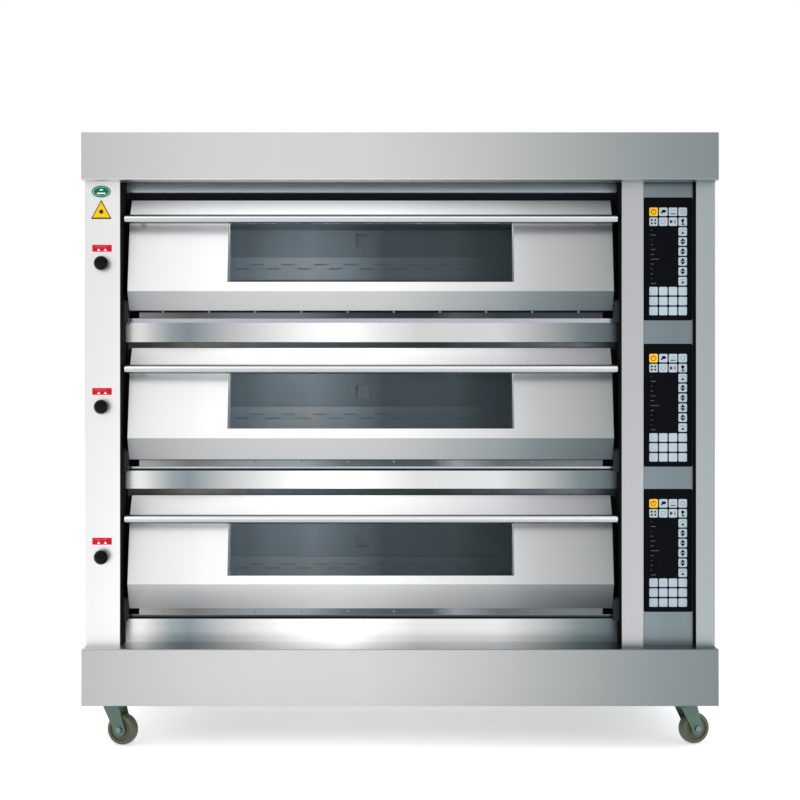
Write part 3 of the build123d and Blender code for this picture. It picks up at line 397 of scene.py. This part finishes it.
def make_rail():
    """The plinths, with painted reflection bands from side to side and painted light and shade bands under
    a folded lip, the dull lintel in its own painted reflection tone, and a painted glow at the bottom
    plinth's foot.
    """
    finish = steel("polished_rails", PLINTH, ALONG, 0.24, 0.02)
    z = finish.axis(2)
    colour = finish.colour
    for sill, stops in zip(SILLS, LIPS):
        depth = (sill + LIP_RISE - z) / LIP_HEIGHT
        colour = finish.mix(between(depth, -0.2, 1.0), colour, finish.ramp(depth, stops))
    lintel = finish.ramp(across(finish), LINTEL)
    finish.feed("Base Color", finish.mix(z > HOOD_BOTTOM - 20 * MM, colour, lintel))
    # painted glow on the bottom plinth's foot, strongest just over the base
    foot_glow = ((BASE_TOP + PLINTH_FOOT - z) / PLINTH_FOOT).clamped()
    finish.feed("Emission Color", finish.mix(foot_glow * 0.3, BLACK, colour))
    finish.shader.inputs["Emission Strength"].default_value = 1.0
    return finish


def make_liner():
    """The door liners; their bottom channels show below the doors, with painted reflection from side to
    side, painted shade and shadow on the channels, and painted shade on the side faces.
    """
    finish = steel("door_liner", CHANNEL, ALONG, 0.35)
    z = finish.axis(2)
    top_door = z > SKIN_BOTTOMS[-1] - 100 * MM
    far = ((across(finish) - 0.3) * 4).clamped()
    # painted shade over the channels, deeper on the top door and towards its right; then a painted shadow
    # under each door's bevel
    dark = 0.3 + top_door * 0.3 + top_door * far * 0.2
    for bottom, line in zip(SKIN_BOTTOMS, CHANNEL_LINES):
        dark = dark + between(z, bottom - line, bottom + 10 * MM) * 0.5
    finish.feed("Base Color", finish.mix(dark.clamped(), finish.colour, tone(20, 24, 24)))
    finish.shade(abs(finish.axis(0, finish.facing)) > SQUARE_ON, tone(96, 104, 112), 0.7)
    return finish


def make_chamber():
    """Chamber plates, dull from the heat, with painted reflection from side to side; their flanges round
    the mouth carry painted deep shade with patches of painted light over the two lower doors, and the wall
    behind the guards carries painted shade.
    """
    finish = Finish("chamber_plate", Metallic=0.35)
    cloud = finish.noise(9.0, 5.0, 0.6)
    colour = finish.mix(cloud * 0.18, finish.ramp(across(finish), INSIDE), (0.05, 0.055, 0.06))
    finish.feed("Base Color", colour)
    finish.feed("Roughness", 0.45 + (cloud - 0.5) * 0.2)
    z = finish.axis(2)
    over = [between(z, top - 3 * MM, top + 60 * MM) for top in DOOR_TOPS[:2]]
    flange_light_noise = finish.noise(26.0, 3.0, 0.6)
    dim = finish.ramp(across(finish), FLANGE)
    flange = finish.mix((over[0] + over[1]) * (0.55 + flange_light_noise * 0.6).clamped(), tone(24, 27, 32), dim)
    finish.shade(finish.axis(1) < CHAMBER_MOUTH.y + 3 * MM, flange)
    # painted shade on the back wall behind the guards, seen through their slots
    behind = 0.0
    for sill, rise in zip(SILLS, GUARD_RISES):
        behind = between(z, sill + rise, sill + rise + GUARD_HEIGHT) + behind
    finish.shade(behind * (finish.axis(1) > GUARD_BACK + 0.1 * MM), tone(5, 7, 9))
    return finish


def make_rod():
    """The damper rods, bright at the front; their parts in the flue carry near-black painted shade."""
    finish = plain("rod_finish", tone(170, 172, 174), 0.3, 0.9, 0.05)
    finish.shade(finish.axis(1) > 0.0, tone(5, 6, 7))
    return finish


def make_guard():
    """The slotted guards, with the chamber's painted reflection tone a little lighter than on the wall
    behind them.
    """
    lighter = [(place, tuple(min(c * 1.35, 1.0) for c in colour)) for place, colour in INSIDE]
    finish = steel("rear_guard", lighter, ALONG, 0.4, 0.05, 0.4)
    finish.feed("Base Color", finish.colour)
    return finish


def make_glass():
    """The panes, almost clear, with a faint smear."""
    finish = Finish("oven_glass", Metallic=0.0, IOR=1.5, Alpha=0.03)
    finish.shader.inputs["Base Color"].default_value = (*tone(120, 140, 150), 1.0)
    finish.feed("Roughness", 0.03 + finish.noise(5.0, 3.0, 0.5) * 0.05)
    return finish


def make_chrome():
    """Chromed tube with painted reflection: dark along its top and bottom, with a painted highlight line
    above its middle.
    """
    finish = Finish("handle_chrome", Metallic=1.0)
    up = finish.axis(2, finish.facing) * 0.5 + 0.5
    cloud = finish.noise(40.0, 3.0)
    finish.feed("Base Color", finish.mix(cloud * 0.03, finish.ramp(up, CHROME), BLACK))
    finish.feed("Roughness", 0.2 + (cloud - 0.5) * 0.08)
    return finish


def make_zinc():
    """Zinc plate with a green cast, with painted shade on faces turned away from the front and back."""
    finish = Finish("zinc_plate", Metallic=0.6)
    cloud = finish.noise(45.0, 4.0, 0.6)
    edge = 1 - abs(finish.axis(1, finish.facing))
    colour = finish.mix(cloud, tone(72, 94, 88), tone(94, 116, 106))
    side_shade = (edge * 1.4 - 0.35).clamped() * 0.75
    finish.feed("Base Color", finish.mix(side_shade, colour, tone(38, 48, 48)))
    finish.feed("Roughness", 0.42 + (cloud - 0.5) * 0.2)
    finish.bump(cloud, 0.08, 0.0003)
    return finish


def make_wheel():
    """Nylon wheels, stained olive, with painted light that makes them paler and yellower towards the top.
    """
    finish = Finish("nylon_wheel", Metallic=0.0)
    cloud = finish.noise(30.0, 4.0, 0.6)
    colour = finish.mix(cloud, tone(56, 66, 48), tone(86, 96, 72))
    # painted light: paler and yellower towards the top
    upper = (finish.axis(2) * 9.0 - 0.25).clamped() * 0.4
    finish.feed("Base Color", finish.mix(upper, colour, tone(140, 136, 100)))
    finish.feed("Roughness", 0.5 + (cloud - 0.5) * 0.2)
    finish.bump(cloud, 0.05, 0.0003)
    return finish


def make_galvanised():
    """Galvanised sheet with a fine spangle."""
    finish = Finish("galvanised_sheet", Metallic=0.7)
    cells = finish.add("ShaderNodeTexVoronoi", {"feature": "F1"}, {"Vector": finish.place, "Scale": 38.0})
    spangle = finish.add("ShaderNodeSeparateColor", inputs={0: cells["Color"]})["Red"]
    cloud = finish.noise(7.0, 4.0)
    light = spangle * 0.5 + cloud * 0.4
    finish.feed("Base Color", finish.mix(light, tone(150, 154, 156), tone(186, 190, 192)))
    finish.feed("Roughness", 0.34 + spangle * 0.14)
    return finish


ALONG = (1.0, 1.0, 220.0)  # brush lines from side to side
UPRIGHT = (220.0, 1.0, 1.0)
MADE = {
    "casing": make_casing, "column": make_column, "recess": make_recess, "skin": make_skin,
    "rail": make_rail, "liner": make_liner, "chamber": make_chamber, "guard": make_guard,
    "glass": make_glass, "chrome": make_chrome, "zinc": make_zinc, "rod": make_rod, "wheel": make_wheel,
    "galvanised": make_galvanised,
}
PLAIN = {  # colour, roughness, metallic, mottle, noise scale, bump
    "hearth": (tone(96, 100, 104), 0.5, 0.4, 0.15, 20.0, 0.0),
    "film": (tone(3, 5, 9), 0.45, 0.0, 0.2, 30.0, 0.0),
    "key": (tone(174, 190, 200), 0.5, 0.0, 0.03, 80.0, 0.0),
    "power_key": (tone(248, 200, 52), 0.5, 0.0, 0.03, 80.0, 0.0),
    "ball": (tone(3, 4, 5), 0.1, 0.0, 0.2, 30.0, 0.0),
    "bolt": (tone(112, 124, 128), 0.3, 0.8, 0.5, 240.0, 0.2),
    "hinge": (tone(30, 34, 42), 0.45, 0.3, 0.2, 50.0, 0.0),
    "pin": (tone(170, 178, 188), 0.3, 0.8, 0.1, 50.0, 0.0),
    "wool": (tone(196, 186, 140), 0.95, 0.0, 0.25, 90.0, 0.5),
    "rope": (tone(150, 148, 140), 0.9, 0.0, 0.2, 300.0, 0.4),
    "element": (tone(92, 84, 78), 0.4, 0.7, 0.2, 40.0, 0.0),
    "electrics": (tone(70, 74, 78), 0.5, 0.0, 0.1, 60.0, 0.0),
    "gland": (tone(28, 28, 30), 0.45, 0.0, 0.1, 60.0, 0.0),
    "red": (tone(206, 18, 44), 0.4, 0.0, 0.06, 90.0, 0.0),
    "white": (tone(246, 246, 246), 0.5, 0.0, 0.02, 60.0, 0.0),
    "pink": (tone(226, 84, 100), 0.5, 0.0, 0.05, 60.0, 0.0),
    "green": (tone(0, 108, 82), 0.45, 0.0, 0.06, 60.0, 0.0),
    "yellow": (tone(232, 186, 16), 0.45, 0.0, 0.05, 60.0, 0.0),
    "olive": (tone(52, 46, 12), 0.5, 0.0, 0.1, 60.0, 0.0),
    "ink": (tone(6, 8, 14), 0.5, 0.0, 0.05, 60.0, 0.0),
    "orange": (tone(196, 78, 24), 0.5, 0.0, 0.05, 60.0, 0.0),
    "faint": (tone(112, 126, 136), 0.5, 0.0, 0.05, 60.0, 0.0),
    "display": (tone(5, 6, 12), 0.4, 0.0, 0.1, 60.0, 0.0),
    "grey": (tone(92, 98, 102), 0.5, 0.0, 0.05, 60.0, 0.0),
    "screw": (tone(120, 124, 126), 0.35, 0.8, 0.15, 200.0, 0.05),
}
LOW_GLOSS = ("film", "key", "power_key", "ink", "display", "grey", "faint", "red", "orange", "wool", "rope",
             "green", "yellow", "olive")


class Finishes(dict):
    """Materials by name, each made once."""

    def __missing__(self, name):
        if name in MADE:
            finish = MADE[name]()
        else:
            finish = plain(f"{name}_finish", *PLAIN[name])
        gloss = {"ball": 0.1, **dict.fromkeys(LOW_GLOSS, 0.05)}.get(name)
        if gloss is not None:
            finish.shader.inputs["Specular IOR Level"].default_value = gloss
        self[name] = finish.material
        return self[name]


FINISHES = Finishes()

NODE_FINISHES = {
    "hood": "casing", "base_box": "casing", "side_panels": "casing", "column_left": "column",
    "control_columns": "column", "control_backplate": "recess", "rear_panel": "galvanised",
    "inner_walls": "galvanised", "flue_duct": "galvanised", "cross_rails": "rail", "rear_guards": "guard",
    "hearth_plates": "hearth", "heating_elements": "element", "insulation": "wool", "door_seals": "rope",
    "control_membranes": "film", "control_keys": "key", "hinge_brackets": "hinge", "caster_plates": "zinc",
    "electrics": "electrics", "cable_gland": "gland",
}
DECK_FINISHES = {
    "chamber_{}": "chamber", "door_{}_skin": "skin", "door_{}_liner": "liner", "door_{}_glass": "glass",
    "door_{}_handle": "chrome", "door_{}_hinge_pins": "pin", "damper_{}_knob": "ball",
    "damper_{}_rod": "rod", "power_key_{}": "power_key",
}
CORNER_FINISHES = {"caster_{}_fork": "zinc", "caster_{}_axle": "bolt", "caster_{}_wheel": "wheel"}


# ---- mesh tools ----------------------------------------------------------------------------
def deselect():
    """Leaves nothing selected."""
    bpy.ops.object.select_all(action="DESELECT")


def pick(*pieces):
    """Selects only these pieces; the first is the active one."""
    deselect()
    for piece in pieces:
        piece.select_set(True)
    bpy.context.view_layer.objects.active = pieces[0]


def settle(name):
    """Names the active piece and moves its place into its mesh."""
    piece = bpy.context.active_object
    piece.name = piece.data.name = name
    bpy.ops.object.transform_apply(location=True, rotation=True, scale=True)
    return piece


def flat(sides, x, z, width, height, depth, thickness=PRINT, turn=0.0, rim=0.0):
    """A thin plate facing the front, with this many sides, as wide and high as given round (x, z)."""
    deselect()
    upright = (math.radians(90), math.radians(turn), 0)
    bpy.ops.mesh.primitive_circle_add(vertices=sides, radius=1.0, fill_type="NGON", rotation=upright)
    piece = settle("plate")
    corners = [vertex.co for vertex in piece.data.vertices]
    low = [min(c[i] for c in corners) for i in (0, 2)]
    high = [max(c[i] for c in corners) for i in (0, 2)]
    scale = (width / (high[0] - low[0]), height / (high[1] - low[1]))
    piece.scale = (scale[0], 1.0, scale[1])
    piece.location = (x - scale[0] * (low[0] + high[0]) / 2, depth, z - scale[1] * (low[1] + high[1]) / 2)
    settle("plate")
    bpy.ops.object.mode_set(mode="EDIT")
    bpy.ops.mesh.select_all(action="SELECT")
    bpy.ops.mesh.extrude_region_move(TRANSFORM_OT_translate={"value": (0, -thickness, 0)})
    bpy.ops.mesh.select_all(action="SELECT")
    bpy.ops.mesh.normals_make_consistent(inside=False)
    bpy.ops.object.mode_set(mode="OBJECT")
    if rim:
        round_edges(piece, rim)
    return piece


def bar(x, z, width, height, depth, **more):
    """A thin upright rectangle facing the front."""
    return flat(4, x, z, width, height, depth, turn=45.0, **more)


def ring(x, z, radius, line, depth):
    """A thin ring facing the front."""
    deselect()
    bpy.ops.mesh.primitive_torus_add(major_radius=radius, minor_radius=line / 2, major_segments=28,
                                     minor_segments=6, rotation=(math.radians(90), 0, 0))
    piece = settle("ring")
    piece.scale = (1.0, 0.5 * MM / line, 1.0)
    piece.location = (x, depth, z)
    return settle("ring")


def arc(x, z, radius, line, depth):
    """The upper part of a ring."""
    piece = ring(x, z, radius, line, depth)
    bpy.ops.object.mode_set(mode="EDIT")
    bpy.ops.mesh.select_all(action="SELECT")
    bpy.ops.mesh.bisect(plane_co=(x, depth, z + 0.35 * radius), plane_no=(0, 0, 1), use_fill=True,
                        clear_inner=True)
    bpy.ops.object.mode_set(mode="OBJECT")
    return piece


def round_edges(piece, width, segments=2):
    """Rounds a piece's sharp edges."""
    edge = piece.modifiers.new("edge", "BEVEL")
    edge.width = width
    edge.segments = segments
    edge.limit_method = "ANGLE"
    pick(piece)
    bpy.ops.object.modifier_apply(modifier=edge.name)


def join(pieces, name):
    """Joins new pieces into one mesh."""
    pick(*pieces)
    if len(pieces) > 1:
        bpy.ops.object.join()
    return settle(name)


def twin(piece, offset, name):
    """A copy with its own mesh, moved by an offset."""
    pick(piece)
    bpy.ops.object.duplicate(linked=False)
    bpy.context.active_object.location = offset
    return settle(name)


def finish_piece(piece, body, finish):
    """Gives a piece its material, body and slot."""
    piece.data.materials.clear()
    piece.data.materials.append(FINISHES[finish])
    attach(piece, body)
    return piece


def middle(node):
    """The middle of a node's box."""
    low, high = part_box(node)
    return (low + high) / 2


def on_every_deck(name, shape, node, body, finish):
    """Models a piece for the bottom deck, and copies it to the others by the place of one node."""
    first = join(shape, name.format(FIRST))
    start = middle(node.format(FIRST))
    for deck in DECKS[1:]:
        copy = twin(first, middle(node.format(deck)) - start, name.format(deck))
        finish_piece(copy, body.format(deck), finish)
    finish_piece(first, body.format(FIRST), finish)


def screw_head(x, y, z, radius, height, sides, rim, segments):
    """A domed screw head whose axis lies from front to back."""
    deselect()
    bpy.ops.mesh.primitive_cylinder_add(vertices=sides, radius=radius, depth=height, location=(x, y, z),
                                        rotation=(math.radians(90), 0, 0))
    head = settle("head")
    round_edges(head, rim, segments)
    return head


# ---- sizes and colours that a user would change --------------------------------------------
class OvenStage(bpy.types.PropertyGroup):
    distance: FloatProperty(name="Camera distance", description="From the oven's front to the camera",
                            default=4.6, unit="LENGTH")
    height: FloatProperty(name="Camera height", description="Height of the camera over the floor",
                          default=0.91, unit="LENGTH")
    lens: FloatProperty(name="Lens", description="Focal length in millimetres", default=80.04)
    floor: FloatProperty(name="Floor", description="Side of the square floor", default=60.0, unit="LENGTH")
    backdrop: FloatVectorProperty(name="Backdrop", description="Colour of the light all round",
                                  default=(1.0, 1.0, 1.0), subtype="COLOR")


class OvenMarks(bpy.types.PropertyGroup):
    plate: FloatVectorProperty(name="Damper plate", description="Width and height of the red plates",
                               default=(51 * MM, 18 * MM), size=2, unit="LENGTH")
    plate_rise: FloatProperty(name="Plate rise", description="From a knob's middle to its plate's middle",
                              default=40.4 * MM, unit="LENGTH")
    badge: FloatProperty(name="Badge width", description="Width of the badges at the left column's top",
                         default=50 * MM, unit="LENGTH")
    line: FloatProperty(name="Symbol line", description="Width of the lines on the keys",
                        default=1.3 * MM, unit="LENGTH")
    screw_pitch: FloatProperty(name="Screw pitch", description="Between the screws under a door",
                               default=122 * MM, unit="LENGTH")


# ---- stage ---------------------------------------------------------------------------------
class OVEN_OT_stage(bpy.types.Operator):
    """Adds the floor, the soft lights and the camera"""

    bl_idname = "oven.stage"
    bl_label = "Stage"

    def execute(self, context):
        sizes = context.scene.oven_stage
        scene = context.scene
        scene.view_settings.view_transform = "Standard"
        world = bpy.data.worlds.new("studio")
        scene.world = world
        world.use_nodes = True
        world.node_tree.nodes["Background"].inputs["Color"].default_value = (*sizes.backdrop, 1.0)
        world.node_tree.nodes["Background"].inputs["Strength"].default_value = 1.0
        deselect()
        bpy.ops.mesh.primitive_plane_add(size=sizes.floor, location=(0, 0, -0.5 * MM))
        floor = settle("floor")
        paint = Finish("pale_floor", Metallic=0.0, Roughness=0.95)
        paint.shader.inputs["Specular IOR Level"].default_value = 0.0
        colour = paint.mix(paint.noise(0.6, 2.0), tone(252), tone(254))
        paint.feed("Base Color", colour)
        paint.feed("Emission Color", colour)
        paint.shader.inputs["Emission Strength"].default_value = 0.5
        floor.data.materials.append(paint.material)
        front = LOW.y
        self.light("key", (-2.6, front - 2.6, 3.4), (0.0, 0.0, 0.9), 3.2, 12.0)
        self.light("fill", (2.8, front - 2.4, 2.2), (0.0, 0.0, 0.8), 3.0, 5.0)
        self.light("top", (0.0, 0.2, 4.2), (0.0, 0.0, 0.0), 3.5, 8.0)
        camera = bpy.data.cameras.new("camera")
        camera.lens = sizes.lens
        camera.sensor_width = SENSOR
        camera.clip_end = 100.0
        holder = bpy.data.objects.new("camera", camera)
        scene.collection.objects.link(holder)
        holder.location = (0.0, front - sizes.distance, sizes.height)
        holder.rotation_euler = (math.radians(90.0), 0.0, 0.0)
        scene.camera = holder
        return {"FINISHED"}

    @staticmethod
    def light(name, place, target, size, power):
        lamp = bpy.data.lights.new(name, "AREA")
        lamp.size = size
        lamp.energy = power
        holder = bpy.data.objects.new(name, lamp)
        bpy.context.scene.collection.objects.link(holder)
        holder.location = place
        holder.rotation_euler = (Vector(target) - Vector(place)).to_track_quat("-Z", "Y").to_euler()


class OVEN_OT_chamber_lamps(bpy.types.Operator):
    """Adds a lamp in each chamber, so that its inside shows through the window"""

    bl_idname = "oven.chamber_lamps"
    bl_label = "Chamber lamps"

    def execute(self, context):
        for deck in DECKS:
            low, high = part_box(f"chamber_{deck}")
            lamp = bpy.data.lights.new(f"lamp_{deck}", "AREA")
            lamp.shape = "RECTANGLE"
            lamp.size, lamp.size_y = LAMP_SIZE
            lamp.energy = LAMP_POWER
            holder = bpy.data.objects.new(f"lamp_{deck}", lamp)
            context.scene.collection.objects.link(holder)
            holder.visible_camera = False
            holder.location = ((low.x + high.x) / 2, low.y + 160 * MM, high.z - 60 * MM)
            holder.rotation_euler = (math.radians(-40.0), 0.0, 0.0)
        return {"FINISHED"}


class OVEN_OT_finishes(bpy.types.Operator):
    """Gives every CAD node its finish"""

    bl_idname = "oven.finishes"
    bl_label = "Finishes"

    def execute(self, context):
        table = dict(NODE_FINISHES)
        for pattern, finish in DECK_FINISHES.items():
            table.update({pattern.format(deck): finish for deck in DECKS})
        for pattern, finish in CORNER_FINISHES.items():
            table.update({pattern.format(corner): finish for corner in CORNERS})
        left = sorted(set(NODES) - set(table))
        if left:
            raise RuntimeError(f"these nodes have no finish: {left}")
        for node, finish in table.items():
            NODES[node].data.materials.clear()
            NODES[node].data.materials.append(FINISHES[finish])
        return {"FINISHED"}


class OVEN_OT_damper_plates(bpy.types.Operator):
    """Adds the red plate with two white arrows over each damper knob"""

    bl_idname = "oven.damper_plates"
    bl_label = "Damper plates"

    def execute(self, context):
        marks = context.scene.oven_marks
        width, height = marks.plate
        knob = middle("damper_bottom_knob")
        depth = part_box("column_left")[0].y
        x, z = knob.x - 1 * MM, knob.z + marks.plate_rise
        plate = [bar(x, z, width, height, depth, thickness=PLATE, rim=0.3 * MM)]
        face = depth - PLATE
        arrows = [flat(3, x + side * width / 6, z - 0.2 * height, 8.5 * MM, 6 * MM, face)
                  for side in (-1, 1)]
        lines = [bar(x - 3 * MM, z + 0.22 * height, 0.6 * width, 1.2 * MM, face)]
        lines += [bar(x + side * width / 6, z - 0.4 * height, 9 * MM, 1 * MM, face) for side in (-1, 1)]
        place = "damper_{}_knob"
        on_every_deck("damper_plate_{}", plate, place, BODY, "red")
        on_every_deck("damper_arrows_{}", arrows, place, BODY, "white")
        on_every_deck("damper_lines_{}", lines, place, BODY, "pink")
        return {"FINISHED"}


class OVEN_OT_badges(bpy.types.Operator):
    """Adds the plain green oval and yellow triangle at the top of the left column"""

    bl_idname = "oven.badges"
    bl_label = "Badges"

    def execute(self, context):
        width = context.scene.oven_marks.badge
        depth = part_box("column_left")[0].y
        x = middle("damper_top_knob").x - 3 * MM
        top = HOOD_BOTTOM
        z = top - 24.5 * MM
        raised = depth - OVAL
        oval = flat(40, x, z, width, 31 * MM, depth, thickness=OVAL, rim=0.2 * MM)
        line = ring(0, 0, 1.0, 0.05, raised)
        line.scale = (0.42 * width, 1.0, 11.5 * MM)
        line.location = (x, 0.0, z)
        settle("oval_line")
        pale = [line, bar(x, z - 4.5 * MM, 22 * MM, 3.4 * MM, raised),
                bar(x, z + 4.5 * MM, 9 * MM, 3 * MM, raised)]
        z = top - 71 * MM
        rim = flat(3, x, z, width + 4 * MM, 50 * MM, depth, thickness=0.5 * MM)
        field = flat(3, x, z - 0.8 * MM, width - 5 * MM, 41 * MM, depth, thickness=PLATE, rim=0.2 * MM)
        dot = flat(24, x, z - 6 * MM, 11 * MM, 11 * MM, depth - PLATE)
        for shape, name, finish in (([oval], "oval_badge", "green"), (pale, "oval_lines", "white"),
                                    ([rim, dot], "triangle_rim", "olive"),
                                    ([field], "triangle_badge", "yellow")):
            finish_piece(join(shape, name), BODY, finish)
        return {"FINISHED"}


class OVEN_OT_key_symbols(bpy.types.Operator):
    """Adds the simple shapes printed on the keys"""

    bl_idname = "oven.key_symbols"
    bl_label = "Key symbols"

    def execute(self, context):
        line = context.scene.oven_marks.line
        start = middle("power_key_bottom")
        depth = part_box("control_keys")[0].y

        def shape(kind, column, row, right, up, width, height, **more):
            """A plate or bar on one key, by millimetres from the key's middle."""
            spot = (start.x + KEY_PITCH[0] * column + right * MM, start.z + up * MM - KEY_PITCH[1] * row)
            sides = (kind,) if kind else ()
            return (flat if kind else bar)(*sides, *spot, width * MM, height * MM, depth, **more)

        def round_line(make, column, row, up, radius):
            x, z = start.x + KEY_PITCH[0] * column, start.z + up * MM - KEY_PITCH[1] * row
            return make(x, z, radius * MM, line, depth)

        thin = line / MM
        ink = [shape(20, 1, 0, 1.5, 1.5, 12, 8), shape(12, 1, 0, -4, -3, 5, 4)]
        ink += [shape(0, 2, 0, 0, -5.5, 13, 2.4)]
        ink += [shape(0, 0, 1, 4.6 * h, 4.2 * v, 4.6, 4.4) for h in (-1, 1) for v in (-1, 1)]
        ink += [shape(3, 2, 1, -3.8, 0, 8, 11, turn=90.0), shape(20, 3, 1, 0, 3.2, 8.4, 8.4)]
        ink += [shape(0, 3, 1, 0, -2, 3, 5), shape(3, 3, 1, 1, -6, 11, 4.6)]
        for row in ARROW_KEY_ROWS:
            ink += [shape(3, 3, row, 0, 5.2 * side, 13, 7.6, turn=90.0 - 90.0 * side) for side in (1, -1)]
        ink += [shape(3, 3, row, 0, -2.4, 9, 7) for row in WIDE_KEY_ROWS]
        faint = [round_line(arc, 2, 0, -1, 5), round_line(ring, 3, 0, 0, 5.5)]
        faint += [round_line(ring, 1, 1, 0, 5.5), shape(0, 2, 1, 5, 0, 4, 10)]
        faint += [round_line(arc, 3, row, -1, 7) for row in WIDE_KEY_ROWS]
        faint += [shape(0, 3, row, 0, 0, 12, thin) for row in ARROW_KEY_ROWS]
        place = "power_key_{}"
        on_every_deck("key_symbols_{}", ink, place, BODY, "ink")
        on_every_deck("key_outlines_{}", faint, place, BODY, "faint")
        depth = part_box("power_key_bottom")[0].y
        power = [ring(start.x, start.z, 6.4 * MM, 2.4 * MM, depth), shape(0, 0, 0, 0, 3, 2, 7)]
        on_every_deck("power_symbol_{}", power, place, place, "orange")
        return {"FINISHED"}


class OVEN_OT_displays(bpy.types.Operator):
    """Adds the dark display windows and the short grey lines beside them"""

    bl_idname = "oven.displays"
    bl_label = "Displays"

    def execute(self, context):
        start = middle("power_key_bottom")
        depth = FILM_LOW.y
        x, z = start.x + CORNER_ABOVE_KEY[0], start.z + CORNER_ABOVE_KEY[1]
        right, down, width, height = DISPLAY
        window = [bar(x + right, z - down, width, height, depth, thickness=0.2 * MM)]
        left, drop = ROW_START
        rows = [bar(x + left + length / 2, z - drop - ROW_PITCH * i, length, 1.5 * MM, depth)
                for i, length in enumerate(ROW_LENGTHS)]
        on_every_deck("display_{}", window, "power_key_{}", BODY, "display")
        on_every_deck("row_lines_{}", rows, "power_key_{}", BODY, "grey")
        return {"FINISHED"}


class OVEN_OT_door_screws(bpy.types.Operator):
    """Adds the screw heads along the strip under each door"""

    bl_idname = "oven.door_screws"
    bl_label = "Door screws"

    def execute(self, context):
        pitch = context.scene.oven_marks.screw_pitch
        low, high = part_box("door_bottom_liner")
        count = int((high.x - low.x - 60 * MM) / pitch) + 1
        first = (low.x + high.x - pitch * (count - 1)) / 2
        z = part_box("door_bottom_skin")[0].z - 5 * MM
        y = LINER_FRONT - 0.6 * MM
        heads = [screw_head(first + pitch * i, y, z, 3.2 * MM, 1.6 * MM, 12, 0.8 * MM, 1)
                 for i in range(count)]
        on_every_deck("door_screws_{}", heads, "door_{}_liner", "door_{}", "screw")
        return {"FINISHED"}


class OVEN_OT_rear_screws(bpy.types.Operator):
    """Adds the domed screws round the rear panel"""

    bl_idname = "oven.rear_screws"
    bl_label = "Rear screws"

    def execute(self, context):
        low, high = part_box("rear_panel")
        inset, rows, columns = 18 * MM, 6, 7
        spots = [(low.x + inset + (high.x - low.x - 2 * inset) * i / (columns - 1), z)
                 for i in range(columns) for z in (low.z + inset, high.z - inset)]
        spots += [(x, low.z + inset + (high.z - low.z - 2 * inset) * i / (rows - 1))
                  for i in range(1, rows - 1) for x in (low.x + inset, high.x - inset)]
        heads = [screw_head(x, high.y + 1 * MM, z, 5 * MM, 3 * MM, 14, 1.2 * MM, 2) for x, z in spots]
        finish_piece(join(heads, "rear_screws"), BODY, "screw")
        return {"FINISHED"}


class OVEN_PT_panel(bpy.types.Panel):
    """Lists the oven's sizes and steps"""

    bl_label = "Deck Oven"
    bl_space_type = "VIEW_3D"
    bl_region_type = "UI"
    bl_category = "Deck Oven"

    def draw(self, context):
        for group in (context.scene.oven_stage, context.scene.oven_marks):
            for key in type(group).__annotations__:
                self.layout.prop(group, key)
        for step in STEPS:
            self.layout.operator(step.bl_idname)


STEPS = (OVEN_OT_stage, OVEN_OT_chamber_lamps, OVEN_OT_finishes, OVEN_OT_damper_plates, OVEN_OT_badges,
         OVEN_OT_key_symbols, OVEN_OT_displays, OVEN_OT_door_screws, OVEN_OT_rear_screws)
CLASSES = (OvenStage, OvenMarks, *STEPS, OVEN_PT_panel)


def register():
    for cls in CLASSES:
        bpy.utils.register_class(cls)
    bpy.types.Scene.oven_stage = PointerProperty(type=OvenStage)
    bpy.types.Scene.oven_marks = PointerProperty(type=OvenMarks)


def unregister():
    del bpy.types.Scene.oven_marks
    del bpy.types.Scene.oven_stage
    for cls in reversed(CLASSES):
        bpy.utils.unregister_class(cls)


def main():
    register()
    for step in STEPS:
        group, name = step.bl_idname.split(".")
        getattr(getattr(bpy.ops, group), name)()


if __name__ == "__main__":
    main()
